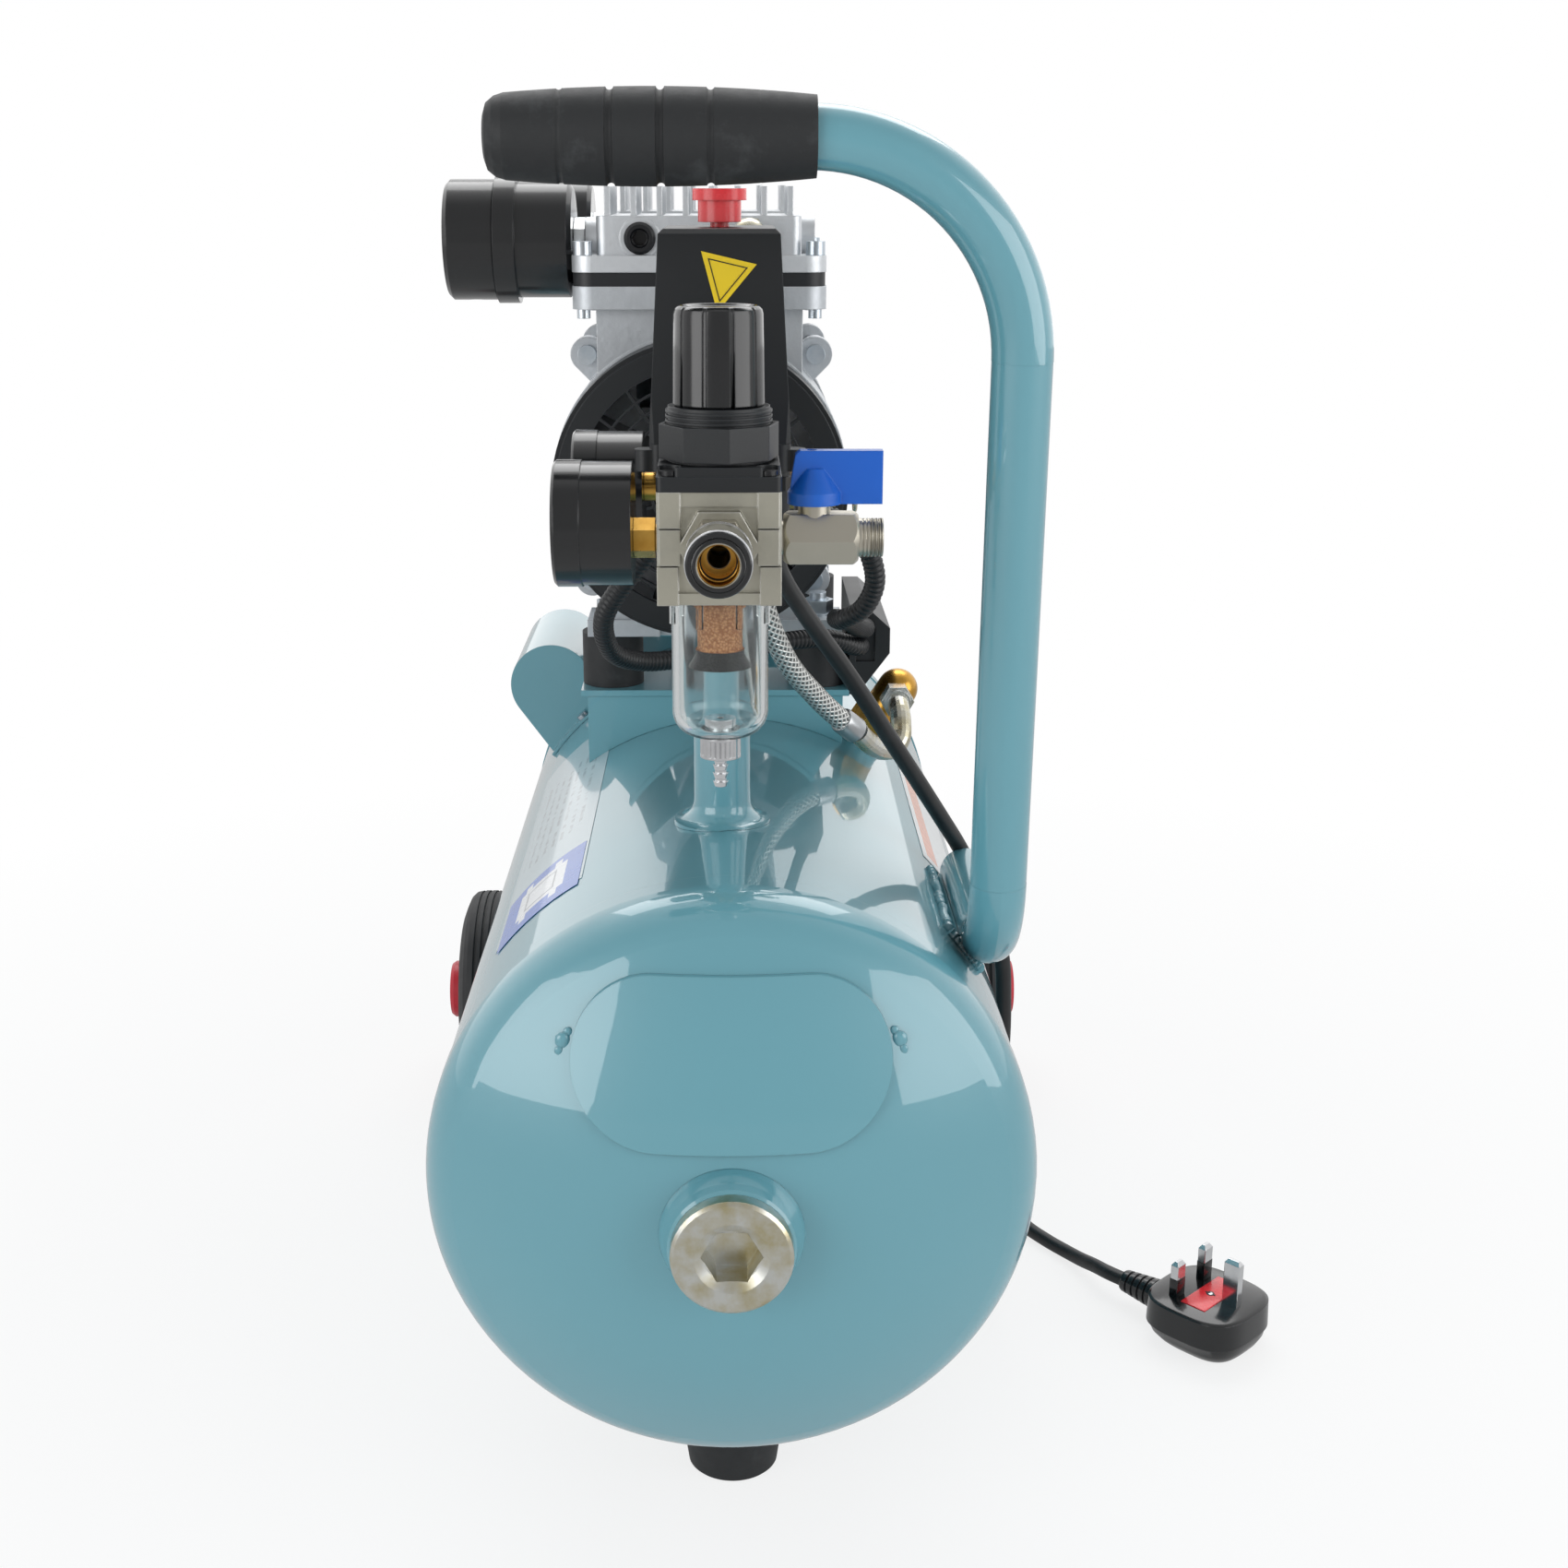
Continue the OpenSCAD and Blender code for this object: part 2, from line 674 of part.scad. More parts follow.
module handle_grip() {
    crown = 2.6;
    half = grip_len/2;
    big = (half^2 + crown^2)/(2*crown);
    color(black) handle_rise()
        translate([grip_end_x - handle_x, 0, rise_len + top_bend_r]) rotate([0, -90, 0])
            difference() {
                rotate_extrude() difference() {
                    intersection() {
                        translate([grip_d/2 - big, half]) circle(big, $fn = 720);
                        square([grip_d, grip_len]);
                        polygon([[0, 0], [grip_d/2 - 2, 0], [grip_d, 2], [grip_d, grip_len - 26],
                            [grip_d/2 + 0.4, grip_len - 20], [grip_d/2 - 1.6, grip_len - 8],
                            [grip_d/2 - 3, grip_len - 3.5], [grip_d/2 - 5, grip_len - 1],
                            [grip_d/2 - 8, grip_len], [0, grip_len]]);
                    }
                    for (k = [0:4]) translate([grip_d/2 + 0.2, grip_len*(0.168 + 0.151*k)])
                        circle(r = 1.4, $fn = 24);
                }
                translate([0, 0, -1]) cylinder(d = handle_d + 2*fit, h = grip_len - 3);
            }
}

// ---------- saddles, mounts, fasteners ----------

module mount_places() {
    for (sx = [-1, 1], sy = [-1, 1])
        translate([saddle_x + sx*mount_pitch_x/2, pump_y + sy*mount_y, 0]) children();
}

// the front saddle in the pump's frame: a plate across, bent down to the tank
module saddle() {
    front = -mount_y - 18;
    difference() {
        union() {
            translate([saddle_x - saddle_w/2, pump_y + front - 1, mount_z - saddle_t])
                cube([saddle_w, saddle_l, saddle_t]);
            translate([saddle_x - saddle_w/2 + 3, pump_y + front, axis_z])
                cube([saddle_w - 6, saddle_t, mount_z - saddle_t - axis_z + eps]);
        }
        tank_bore(fit);
        mount_places() cylinder(d = mount_bolt_d + 0.5, h = mount_z + 1);
    }
}

module saddles() {
    color(teal) {
        saddle();
        translate([0, 2*pump_y, 0]) mirror([0, 1, 0]) saddle();
    }
}

module rubber_mounts() {
    color(black) mount_places() translate([0, 0, mount_z]) difference() {
        cylinder(d = mount_d, h = mount_h);
        translate([0, 0, -1]) cylinder(d = mount_bolt_d + 0.2, h = mount_h + 2);
    }
}

module mount_bolt() {
    cylinder(d = mount_bolt_d, h = mount_h + foot_plate_t + 27);
    translate([0, 0, 16.5 - saddle_t - 7]) hex(mount_bolt_d*1.6, 6);
    translate([0, 0, 16.5 - saddle_t - 1]) cylinder(d = mount_bolt_d*2, h = 1);
    translate([0, 0, 16.5 + mount_h + foot_plate_t]) {
        cylinder(d = mount_bolt_d*2, h = 1);
        translate([0, 0, 1]) hex(mount_bolt_d*1.6, 6);
    }
}

module fasteners() {
    color(zinc) {
        mount_places() translate([0, 0, mount_z - 16.5]) mount_bolt();
        wheel_bolt();
        mirror([1, 0, 0]) wheel_bolt();
        translate([0, foot_y, foot_pocket - 1.2]) {
            cylinder(d = foot_bolt_d, h = tank_lift - foot_pocket + 0.7);
            translate([0, 0, -6]) hex(foot_bolt_d*1.6, 6.01);
            cylinder(d = 18, h = 1.2);
        }
        pump_halves() for (sx = [-1, 1], sy = [-1, 1])
            translate([sx*head_bolt_x, sy*head_bolt_y - cyl_y, flange_z - 4]) {
                cylinder(d = head_bolt_d, h = head_z + head_flange_t - flange_z + 5);
                translate([0, 0, head_z + head_flange_t - flange_z + 4]) difference() {
                    cylinder(d = 8.6, h = 6);
                    translate([0, 0, 3]) hex(5, 4);
                }
            }
        translate([pump_x, pump_y, pump_z]) for (a = [45:90:315]) rotate([0, a, 0])
            translate([0, -case_y + case_l - 12, tie_r]) rotate([-90, 0, 0]) {
                cylinder(d = tie_d, h = stator_l + 24);
                translate([0, 0, -4]) cylinder(d = 9, h = 4 + eps);
                translate([0, 0, stator_l + 24 - eps]) hex(8, 4);
            }
        cap_screws() {
            cylinder(d = 6, h = 2);
            translate([0, 0, -1.5]) cylinder(d = 3, h = 1.51);
        }
    }
    color(black) for (sx = [-1, 1], sy = [-1, 1])
        translate([reg_x + sx*(reg_w/2 - 4.5), reg_y + sy*(reg_w/2 - 4.5), bonnet_z - 8]) {
            cylinder(d = 3.4, h = bonnet_t + 5.5);
            translate([0, 0, bonnet_t + 5]) cylinder(d = 6.4, h = 1.8);
        }
}

// ---------- capacitor ----------

cap_x = -95.7;
cap_y = 122;
cap_z = 258.5;
cap_len = 94;
cap_d = 39;
cap_wall = 1.6;
cap_turn = 48;                           // lean of the cover's foot about the tank
cap_foot_t = 1.6;
cap_screw_turn = 42.5;
cap_screw_out = 4;                       // the foot's screws from the cover's ends

// section of the sheet cover: round top, narrowing down to the tank
module cap_section(r) {
    circle(r);
    polygon([[r*cos(215), r*sin(215)], [2, -r - 18], [r, -20], [r, 0], [0, 0]]);
}

module cap_extrude(y, l) {
    translate([0, y, 0]) rotate([90, 0, 180]) mirror([1, 0, 0]) linear_extrude(l) children();
}

module cap_screws() {
    for (y = [cap_y - cap_screw_out, cap_y + cap_len + cap_screw_out])
        translate([0, y, axis_z]) rotate([0, -cap_screw_turn, 0])
            translate([0, 0, tank_r + fit + cap_foot_t]) children();
}

module capacitor_cover() {
    r = cap_d/2 + 0.6 + cap_wall;
    out = 2*cap_screw_out;
    color(teal) difference() {
        union() {
            translate([cap_x, 0, cap_z]) cap_extrude(cap_y, cap_len) cap_section(r);
            translate([0, 0, axis_z]) cap_extrude(cap_y - out, cap_len + 2*out) intersection() {
                circle(tank_r + fit + cap_foot_t, $fn = 180);
                rotate(cap_turn) translate([0, tank_r]) square([30, 16], center = true);
            }
        }
        translate([cap_x, cap_y + cap_wall, cap_z]) rotate([-90, 0, 0])
            cylinder(d = cap_d + 1.2, h = cap_len + out + 1);
        tank_bore(fit);
        cap_screws() translate([0, 0, -3]) cylinder(d = 3.2, h = 4);
    }
}

module capacitor() {
    color("#d9d9d6") translate([cap_x, cap_y + cap_wall + gap, cap_z]) rotate([-90, 0, 0]) {
        cylinder(d = cap_d, h = cap_len - 14);
        translate([0, 0, cap_len - 15]) cylinder(d = cap_d - 4, h = 5);
        for (s = [-1, 1]) translate([s*6, 0, cap_len - 11]) cylinder(d = 4, h = 6);
    }
}

// ---------- pump ----------

module motor_shell() {
    color("#3a3d40") translate([pump_x, pump_y - stator_l/2 + gap, pump_z]) rotate([-90, 0, 0])
        pipe(2*case_r - 6, 2*case_r - 8.6, stator_l - 2*gap);
}

module stator() {
    inner = 66;
    color("#8d6b3f") translate([pump_x, pump_y, pump_z]) rotate([-90, 0, 0]) {
        translate([0, 0, -stator_l/2 + 8]) difference() {
            cylinder(d = 2*case_r - 8.8, h = stator_l - 16);
            translate([0, 0, -1]) cylinder(d = inner, h = stator_l);
            for (k = [0:23]) rotate(15*k) translate([inner/2 + 2, -1.4, -1]) cube([13, 2.8, stator_l]);
        }
        for (z = [-stator_l/2 + 1, stator_l/2 - 7.5])
            translate([0, 0, z]) pipe(inner + 34, inner + 6, 6.5);
    }
}

// front crankcase, from its front face at y = 0 backwards, crank axis at the origin
module crankcase() {
    cyl_from = cyl_in;
    neck_l = 2*(case_l - cyl_from) - 3;
    low = foot_plate_z - pump_z;
    difference() {
        union() {
            rotate([-90, 0, 0]) cylinder(r = case_r, h = case_l, $fn = 128);
            translate([-block_w/2, cyl_from - neck_l/2, 40]) cube([block_w, neck_l, flange_h - 39]);
            translate([0, cyl_from, flange_h]) slab(head_w, head_l, flange_t - eps, 9);
            for (a = [45:90:315]) rotate([0, a, 0]) translate([0, case_l - 12, 0]) {
                translate([-8, 0, case_r - 14]) cube([16, 12, tie_r - case_r + 14]);
                translate([0, 0, tie_r]) rotate([-90, 0, 0]) cylinder(d = 16, h = 12);
            }
            for (sx = [-1, 1])
                translate([saddle_x - pump_x + sx*mount_pitch_x/2, case_y - mount_y, low + foot_plate_t/2])
                    translate([-17 - sx*6, -15, -foot_plate_t/2]) cube([34, 30, foot_plate_t]);
            translate([-46, case_y - mount_y - 12, low]) cube([92, 24, 26 + foot_drop]);
        }
        translate([0, -1, 0]) rotate([-90, 0, 0]) cylinder(r = case_in_r, h = web_in + 1, $fn = 128);
        translate([0, web_in + web_t, 0]) rotate([-90, 0, 0])
            cylinder(r = case_in_r, h = case_l, $fn = 128);
        rotate([-90, 0, 0]) cylinder(d = bearing_d + 2*fit, h = case_l);
        translate([0, cyl_from, 30]) cylinder(d = cyl_d + 10.2, h = 80);
        for (a = [45:90:315]) rotate([0, a, 0]) translate([0, case_l - 20, tie_r]) rotate([-90, 0, 0])
            cylinder(d = tie_d + 0.2, h = 40);
        for (sx = [-1, 1], sy = [-1, 1])
            translate([sx*head_bolt_x, cyl_from + sy*head_bolt_y, flange_h - 6])
                cylinder(d = head_bolt_d + 0.2, h = 20);
        for (sx = [-1, 1])
            translate([saddle_x - pump_x + sx*mount_pitch_x/2, case_y - mount_y, low - 1])
                cylinder(d = mount_bolt_d + 0.5, h = foot_plate_t + 2);
        for (sx = [-1, 1])
            translate([saddle_x - pump_x + sx*mount_pitch_x/2, case_y - mount_y, low + foot_plate_t])
                cylinder(d = mount_bolt_d*2 + 4, h = 22);
    }
}

module crankcases() {
    color(cast) pump_halves() translate([0, -case_y, pump_z]) crankcase();
}

module cylinders_and_pistons() {
    rod_in_r = eccentric_d/2 + throw + 0.6;
    sleeve_low = 36;
    crown = 60;                          // underside of the piston's crown
    color("#a9adb1") pump_halves() translate([0, -cyl_y, pump_z]) {
        translate([0, 0, sleeve_low]) pipe(cyl_d + 10, cyl_d, flange_h + flange_t - sleeve_low - eps);
        translate([0, 0, crown]) cylinder(d = cyl_d - 2*fit, h = 9);
        difference() {
            union() {
                translate([0, -5, 0]) rotate([-90, 0, 0]) cylinder(r = rod_in_r + 5, h = 10);
                translate([-6, -5, rod_in_r + 1]) cube([12, 10, crown - rod_in_r]);
            }
            translate([0, -6, 0]) rotate([-90, 0, 0]) cylinder(r = rod_in_r, h = 12);
        }
        translate([0, web_in - cyl_in, 0]) rotate([-90, 0, 0])
            pipe(bearing_d, shaft_d + 2*fit, web_t);
    }
}

module valve_plates() {
    color(black) pump_halves() translate([0, -cyl_y, plate_z]) difference() {
        slab(head_w - 1, head_l - 1, valve_t - eps, 8.5);
        for (x = [-12, 12]) translate([x, 0, -1]) cylinder(d = 8, h = valve_t + 2);
        for (sx = [-1, 1], sy = [-1, 1])
            translate([sx*head_bolt_x, sy*head_bolt_y, -1]) cylinder(d = head_bolt_d + 0.2, h = 20);
    }
}

module cylinder_head() {
    fins = 8;
    difference() {
        union() {
            slab(head_w, head_l, head_flange_t, 9);
            translate([0, 0, eps]) slab(block_w - 1.2, block_l, head_block_t, 4);
            for (k = [0:fins - 1])
                translate([(k - (fins - 1)/2)*fin_pitch - fin_t/2, -block_l/2 + 1, head_block_t - 1])
                    cube([fin_t, block_l - 2, fin_h + 1]);
            translate([port_x - pump_x, 0, 13]) rotate([0, 90, 0]) cylinder(d = 20, h = 9);
            translate([block_w/2 - 3, 0, 15]) rotate([0, 90, 0]) cylinder(d = 18, h = 9);
            translate([-26, -block_l/2 + 2, head_plug_up]) rotate([90, 0, 0]) cylinder(d = 18, h = 3);
        }
        translate([0, 0, -1]) slab(block_w - 14, block_l - 12, head_block_t - 4, 3);
        translate([-block_w, 0, 13]) rotate([0, 90, 0]) cylinder(d = 12.1, h = block_w - 30);
        translate([-head_w/2 - 1, 0, 13]) rotate([0, 90, 0])
            cylinder(d = 20.4, h = head_w/2 + 1 + port_x - pump_x);
        translate([-26, -block_l/2 - 2, head_plug_up]) rotate([90, 0, 0])
            translate([0, 0, -10]) cylinder(d = 10 + 2*fit, h = 20);
        translate([22, -block_l/2 + 10, 16]) rotate([90, 0, 0]) cylinder(d = 10.1, h = 20);
        translate([30, block_l/2 - 10, 14]) rotate([-90, 0, 0]) cylinder(d = 10.1, h = 20);
        for (sx = [-1, 1], sy = [-1, 1])
            translate([sx*head_bolt_x, sy*head_bolt_y, -1]) cylinder(d = head_bolt_d + 0.2, h = 20);
    }
}

module cylinder_heads() {
    color(cast) pump_halves() translate([0, -cyl_y, head_z]) cylinder_head();
}

// the front cover, its grille at z = 0 and its rim down at z = cover_l
module fan_cover() {
    r = fan_d/2;
    rim = 12;
    difference() {
        union() {
            cylinder(r = r - 2, h = cover_l, $fn = 128);
            translate([0, 0, 2]) cylinder(r = r, h = cover_l - 2, $fn = 128);
        }
        translate([0, 0, cover_t]) cylinder(r = r - 3, h = cover_l, $fn = 128);
        translate([0, 0, -1]) linear_extrude(cover_t + 2) difference() {
            circle(r - rim, $fn = 128);
            circle(15);
            for (k = [1:5]) difference() {
                circle(15 + k*(r - rim - 15)/6 + 0.6, $fn = 128);
                circle(15 + k*(r - rim - 15)/6 - 0.6, $fn = 128);
            }
            for (k = [0:9]) rotate(18*k) square([2*r, 1.3], center = true);
        }
    }
}

module fan_covers() {
    color(black) pump_halves() translate([0, -pump_len/2, pump_z]) rotate([-90, 0, 0]) fan_cover();
}

module intake_filter() {
    nipple = 9.5;
    difference() {
        union() {
            translate([0, 0, nipple - 2]) cylinder(d = filter_d - 2, h = filter_len - 22);
            translate([0, 0, nipple - 4]) cylinder(d1 = filter_d - 8, d2 = filter_d - 2, h = 2.01);
            translate([0, 0, nipple + filter_len - 34]) cylinder(d = filter_d + 3, h = 9.5);
            translate([0, 0, nipple + filter_len - 24]) cylinder(d = filter_d, h = 20);
            translate([0, 0, nipple + filter_len - 4.01]) cylinder(d1 = filter_d, d2 = filter_d - 4, h = 2);
            translate([0, 0, gap]) hex(17, nipple - 4.5);
            translate([0, 0, -4]) cylinder(d = 12, h = nipple + 2);
        }
        translate([0, 0, -5]) cylinder(d = 7, h = nipple + 5);
        translate([0, 0, nipple]) cylinder(d = filter_d - 7, h = filter_len - 8);
        translate([-filter_d/2, 0, nipple + filter_len - 14]) rotate([0, 90, 0])
            cylinder(d = 8, h = 10, center = true);
    }
}

module intake_filters() {
    color(black) pump_halves() translate([port_x - pump_x, -cyl_y, filter_z]) rotate([0, -90, 0])
        intake_filter();
}

// shaft, rotor core and the two eccentrics, crank axis along Y
module rotor_shaft() {
    shaft_l = pump_len - 2*cover_t - 14;
    color("#8f9498") translate([pump_x, pump_y, pump_z]) {
        translate([0, -shaft_l/2, 0]) rotate([-90, 0, 0]) cylinder(d = shaft_d, h = shaft_l);
        translate([0, -stator_l/2 + 8, 0]) rotate([-90, 0, 0]) cylinder(d = 64, h = stator_l - 16);
        for (s = [-1, 1]) translate([0, s*cyl_y - 7, s*throw]) rotate([-90, 0, 0])
            cylinder(d = eccentric_d, h = 14);
    }
}

module fans() {
    fan_r = case_in_r - 5;
    blades = 7;
    color("#5d6063") pump_halves() translate([0, -pump_len/2 + cover_t + 3, pump_z])
        rotate([-90, 0, 0]) difference() {
            union() {
                cylinder(d = 30, h = 12);
                for (k = [0:blades - 1]) rotate(360*k/blades) translate([12, 0, 6.5])
                    rotate([28, 0, 0]) translate([0, -11, -1]) cube([fan_r - 13, 22, 2]);
            }
            translate([0, 0, -8]) cylinder(d = shaft_d + 2*fit, h = 30);
        }
}

// ---------- post, manifold, switch ----------

module post_tube() {
    flare = 8;
    color(teal) translate([post_x, post_y, 0]) difference() {
        union() {
            translate([0, 0, top_z - 6]) cylinder(d = post_d, h = block_low - 4 - top_z + 6);
            translate([0, 0, top_z - 6]) rotate_extrude() difference() {
                square([post_d/2 + flare, flare + 6]);
                translate([post_d/2 + flare, flare + 6]) circle(flare);
            }
        }
        translate([-post_x, -post_y, 0]) tank_bore(fit);
        translate([0, 0, top_z - 10]) cylinder(d = post_d - 6, h = block_z);
    }
}

module manifold() {
    low = block_low;
    color(brassy) {
        difference() {
            union() {
                translate([post_x - block_s/2, post_y - block_s/2, low]) cube([block_s, block_s, block_h]);
                translate([post_x, post_y, low - 4]) cylinder(d = post_d, h = 4.01);
                translate([post_x, post_y, low + block_h - 1]) cylinder(d = port_d, h = base_z - low - block_h + 1);
                translate([post_x, post_y - block_s/2 + 1, port_z]) rotate([90, 0, 0]) {
                    hex(17, 24);
                    translate([0, 0, 1]) cylinder(d = port_d, h = post_y - block_s/2 - reg_y - reg_w/2 + 6);
                }
                translate([post_x - block_s/2 + 1, post_y, block_z]) rotate([0, -90, 0])
                    cylinder(d = 11, h = post_x - block_s/2 - gauge_back_x + 1 - fit);
                translate([safety_x - 1, post_y, block_z]) rotate([0, 90, 0]) {
                    hex(15, 14);
                    translate([0, 0, 2]) cylinder(d = 13, h = 32);
                    translate([0, 0, 22]) hex(14, 8);
                }
            }
            translate([post_x, post_y, low - 5]) cylinder(d = 9, h = block_h + 30);
            translate([post_x, post_y, port_z]) rotate([90, 0, 0]) cylinder(d = 8, h = 90);
            translate([post_x, post_y, block_z]) rotate([0, 90, 0]) cylinder(d = 6, h = 51, center = true);
            translate([safety_x + 15, post_y, block_z]) rotate([0, 90, 0]) cylinder(d = 7, h = 40);
        }
        translate([gauge_back_x + fit, reg_y, port_z]) rotate([0, 90, 0]) {
            hex(12, 7.5);
            cylinder(d = 9.7, h = 14);
        }
    }
}

// the ring pin of the safety valve on the end of the manifold
module safety_pull() {
    color(zinc) translate([safety_x + 17, post_y, block_z]) {
        rotate([0, 90, 0]) cylinder(d = 7 - 4*fit, h = 6);
        rotate([0, 90, 0]) cylinder(d = 2.6, h = 19.5);
        translate([19.5, 0, -4]) rotate([0, 90, 0]) rotate_extrude() translate([5.2, 0]) circle(0.8, $fn = 24);
    }
}

module switch_base() {
    color(black) difference() {
        union() {
            translate([post_x, post_y, base_z]) slab(switch_w, switch_l, base_t, 4);
            for (sx = [-1, 1]) translate([post_x + sx*(switch_w/2 + 1), post_y - switch_l/2 + 5, base_z])
                cylinder(d = 9, h = base_t - 2);
            translate(cord_exit) {
                cylinder(d1 = cord_d + 2, d2 = 12, h = 20.01);
                translate([0, 0, 20]) cylinder(d = 12, h = base_z - cord_exit[2] - 18);
                translate([0, 0, 20]) hex(13, 5);
            }
            for (p = conduit_starts) translate(p) cylinder(d = 13, h = 13);
        }
        translate([post_x, post_y, base_z - 1]) cylinder(d = 9, h = base_t + 2);
        translate([post_x, post_y, base_z + 3]) slab(switch_w - 8, switch_l - 8, base_t, 2);
    }
}

// the switch cover narrows upwards and has bevelled edges all round
module cover_body(shrink, h) {
    w = switch_w/2 - shrink;
    l = switch_l/2 - shrink;
    bevel = 1.8;
    taper = 4;
    intersection() {
        rotate([90, 0, 0]) linear_extrude(2*l, center = true)
            polygon([[-w, 0], [w, 0], [w - taper, h - bevel], [w - taper - bevel, h],
                [-w + taper + bevel, h], [-w + taper, h - bevel]]);
        rotate([90, 0, 90]) linear_extrude(2*w, center = true)
            polygon([[-l, 0], [l, 0], [l - taper, h - bevel], [l - taper - bevel, h],
                [-l + taper + bevel, h], [-l + taper, h - bevel]]);
        linear_extrude(h) polygon([for (q = [[1, 1], [-1, 1], [-1, -1], [1, -1]], e = [0, 1])
            let (c = (q[0]*q[1] > 0) == (e == 0))
            [q[0]*(w - (c ? 0 : bevel)), q[1]*(l - (c ? bevel : 0))]]);
    }
}

module switch_cover() {
    color(black) translate([post_x, post_y, cover_z]) difference() {
        cover_body(0, switch_h);
        translate([0, 0, -eps]) cover_body(2, switch_h - 2);
        translate([0, 0, switch_h - 4]) cylinder(d = stem_d + 1, h = 8);
    }
}

module switch_knob() {
    color("#d0202a") translate([post_x, post_y, switch_top]) {
        translate([0, 0, -12]) cylinder(d = stem_d, h = 14);
        translate([0, 0, -14]) cylinder(d = 12, h = 2.5);
        translate([0, 0, 1.8]) cylinder(d = 16, h = 8);
        translate([0, 0, 9.5]) cylinder(d = 20, h = 4.2);
    }
}

box_y = 6;
box_x = saddle_x + saddle_w/2 + 0.1;

module terminal_box() {
    x = box_x;
    color("#2b2d30") difference() {
        translate([x, box_y, mount_z]) rotate([90, 0, 180]) mirror([1, 0, 0]) linear_extrude(78)
            polygon([[0, -saddle_t], [4, -saddle_t], [19, 17], [19, 29], [8, 39], [0, 39]]);
        translate([x + 3, box_y - 1, mount_z + 13]) cube([9, 3, 16]);
    }
}

// ---------- gauges ----------

// children placed on the back of the front and the rear gauge, axis towards the dial
module gauge_places() {
    for (y = [reg_y, post_y])
        translate([gauge_back_x, y, y == reg_y ? gauge_z : block_z]) rotate([0, -90, 0]) children();
}

module gauge_cases() {
    color(black) gauge_places() difference() {
        union() {
            cylinder(d = gauge_d - 1, h = gauge_l - 1);
            translate([0, 0, gauge_l - bezel_l]) cylinder(d = gauge_d, h = bezel_l - 1);
            translate([0, 0, gauge_l - 1.01]) cylinder(d1 = gauge_d, d2 = gauge_d - 2, h = 1.01);
        }
        translate([0, 0, gauge_l - 8]) cylinder(d = gauge_d - 4, h = 9);
        translate([0, 0, 3]) cylinder(d = gauge_d - 8, h = gauge_l);
    }
}

module gauge_dials() {
    color("#f2f2ee") gauge_places() {
        translate([0, 0, gauge_l - 8]) cylinder(d = gauge_d - 4.2, h = 0.8);
        translate([0, 0, gauge_l - 7.21]) cylinder(d = 2, h = 2.6);
    }
}

module gauge_lenses() {
    color("#dfeaf0", 0.35) gauge_places() translate([0, 0, gauge_l - 3]) cylinder(d = gauge_d - 4.2, h = 1.6);
}

// a needle that turns on the dial's pin, pointing to the lower left of the dial
module needle() {
    translate([0, 0, gauge_l - 6.4]) rotate(135) difference() {
        union() {
            cylinder(d = 5, h = 1);
            linear_extrude(0.6) polygon([[-5, 0.8], [-5, -0.8], [15.5, -0.35], [15.5, 0.35]]);
        }
        translate([0, 0, -1]) cylinder(d = 2 + 2*fit, h = 4);
    }
}

module needle_front() {
    color("#c02020") translate([gauge_back_x, reg_y, gauge_z]) rotate([0, -90, 0]) needle();
}

module needle_rear() {
    color("#c02020") translate([gauge_back_x, post_y, block_z]) rotate([0, -90, 0]) needle();
}

// ---------- regulator ----------

module regulator_body() {
    half = reg_w/2;
    color("#a9a791") translate([reg_x, reg_y, reg_z]) difference() {
        union() {
            translate([-half, -half + 3, 0]) cube([reg_w, reg_w - 6, reg_h]);
            for (sx = [-1, 1], sy = [-1, 1]) for (z = [[0, 13], [13.5, 12], [26, reg_h - 26]])
                translate([sx*(half - 3.6) - 3.6 + (z[1] == 12 ? -sx*0.8 : 0), sy*(half - 3.5) - 3.5, z[0]])
                    cube([7.2, 7, z[1]]);
            translate([-half + 2, -half + 1, 0]) cube([reg_w - 4, reg_w - 2, 4]);
            translate([-half + 2, -half + 1, reg_h - 5]) cube([reg_w - 4, reg_w - 2, 5]);
            translate([0, -half + 4, reg_h/2 + 0.5]) rotate([90, 0, 0]) hex(24, 4);
        }
        translate([0, 0, reg_h/2 + 0.5]) rotate([90, 0, 0])
            cylinder(d = port_d + 2*fit, h = reg_w + 10, center = true);
        translate([0, 0, reg_h/2 + 0.5]) rotate([0, 90, 0])
            cylinder(d = port_d + 2*fit, h = 24);
        translate([0, 0, reg_h/2 + 0.5]) rotate([0, -90, 0])
            cylinder(d = 9.8, h = 24);
        translate([0, 0, -1]) cylinder(d = bowl_d - 8, h = 8);
        translate([0, 0, reg_h - 7]) cylinder(d = 26, h = 8);
        translate([0, 0, 6]) cylinder(d = 12, h = reg_h);
        for (sx = [-1, 1], sy = [-1, 1])
            translate([sx*(half - 4.5), sy*(half - 4.5), reg_h - 8.3]) cylinder(d = 3.5, h = 10);
    }
}

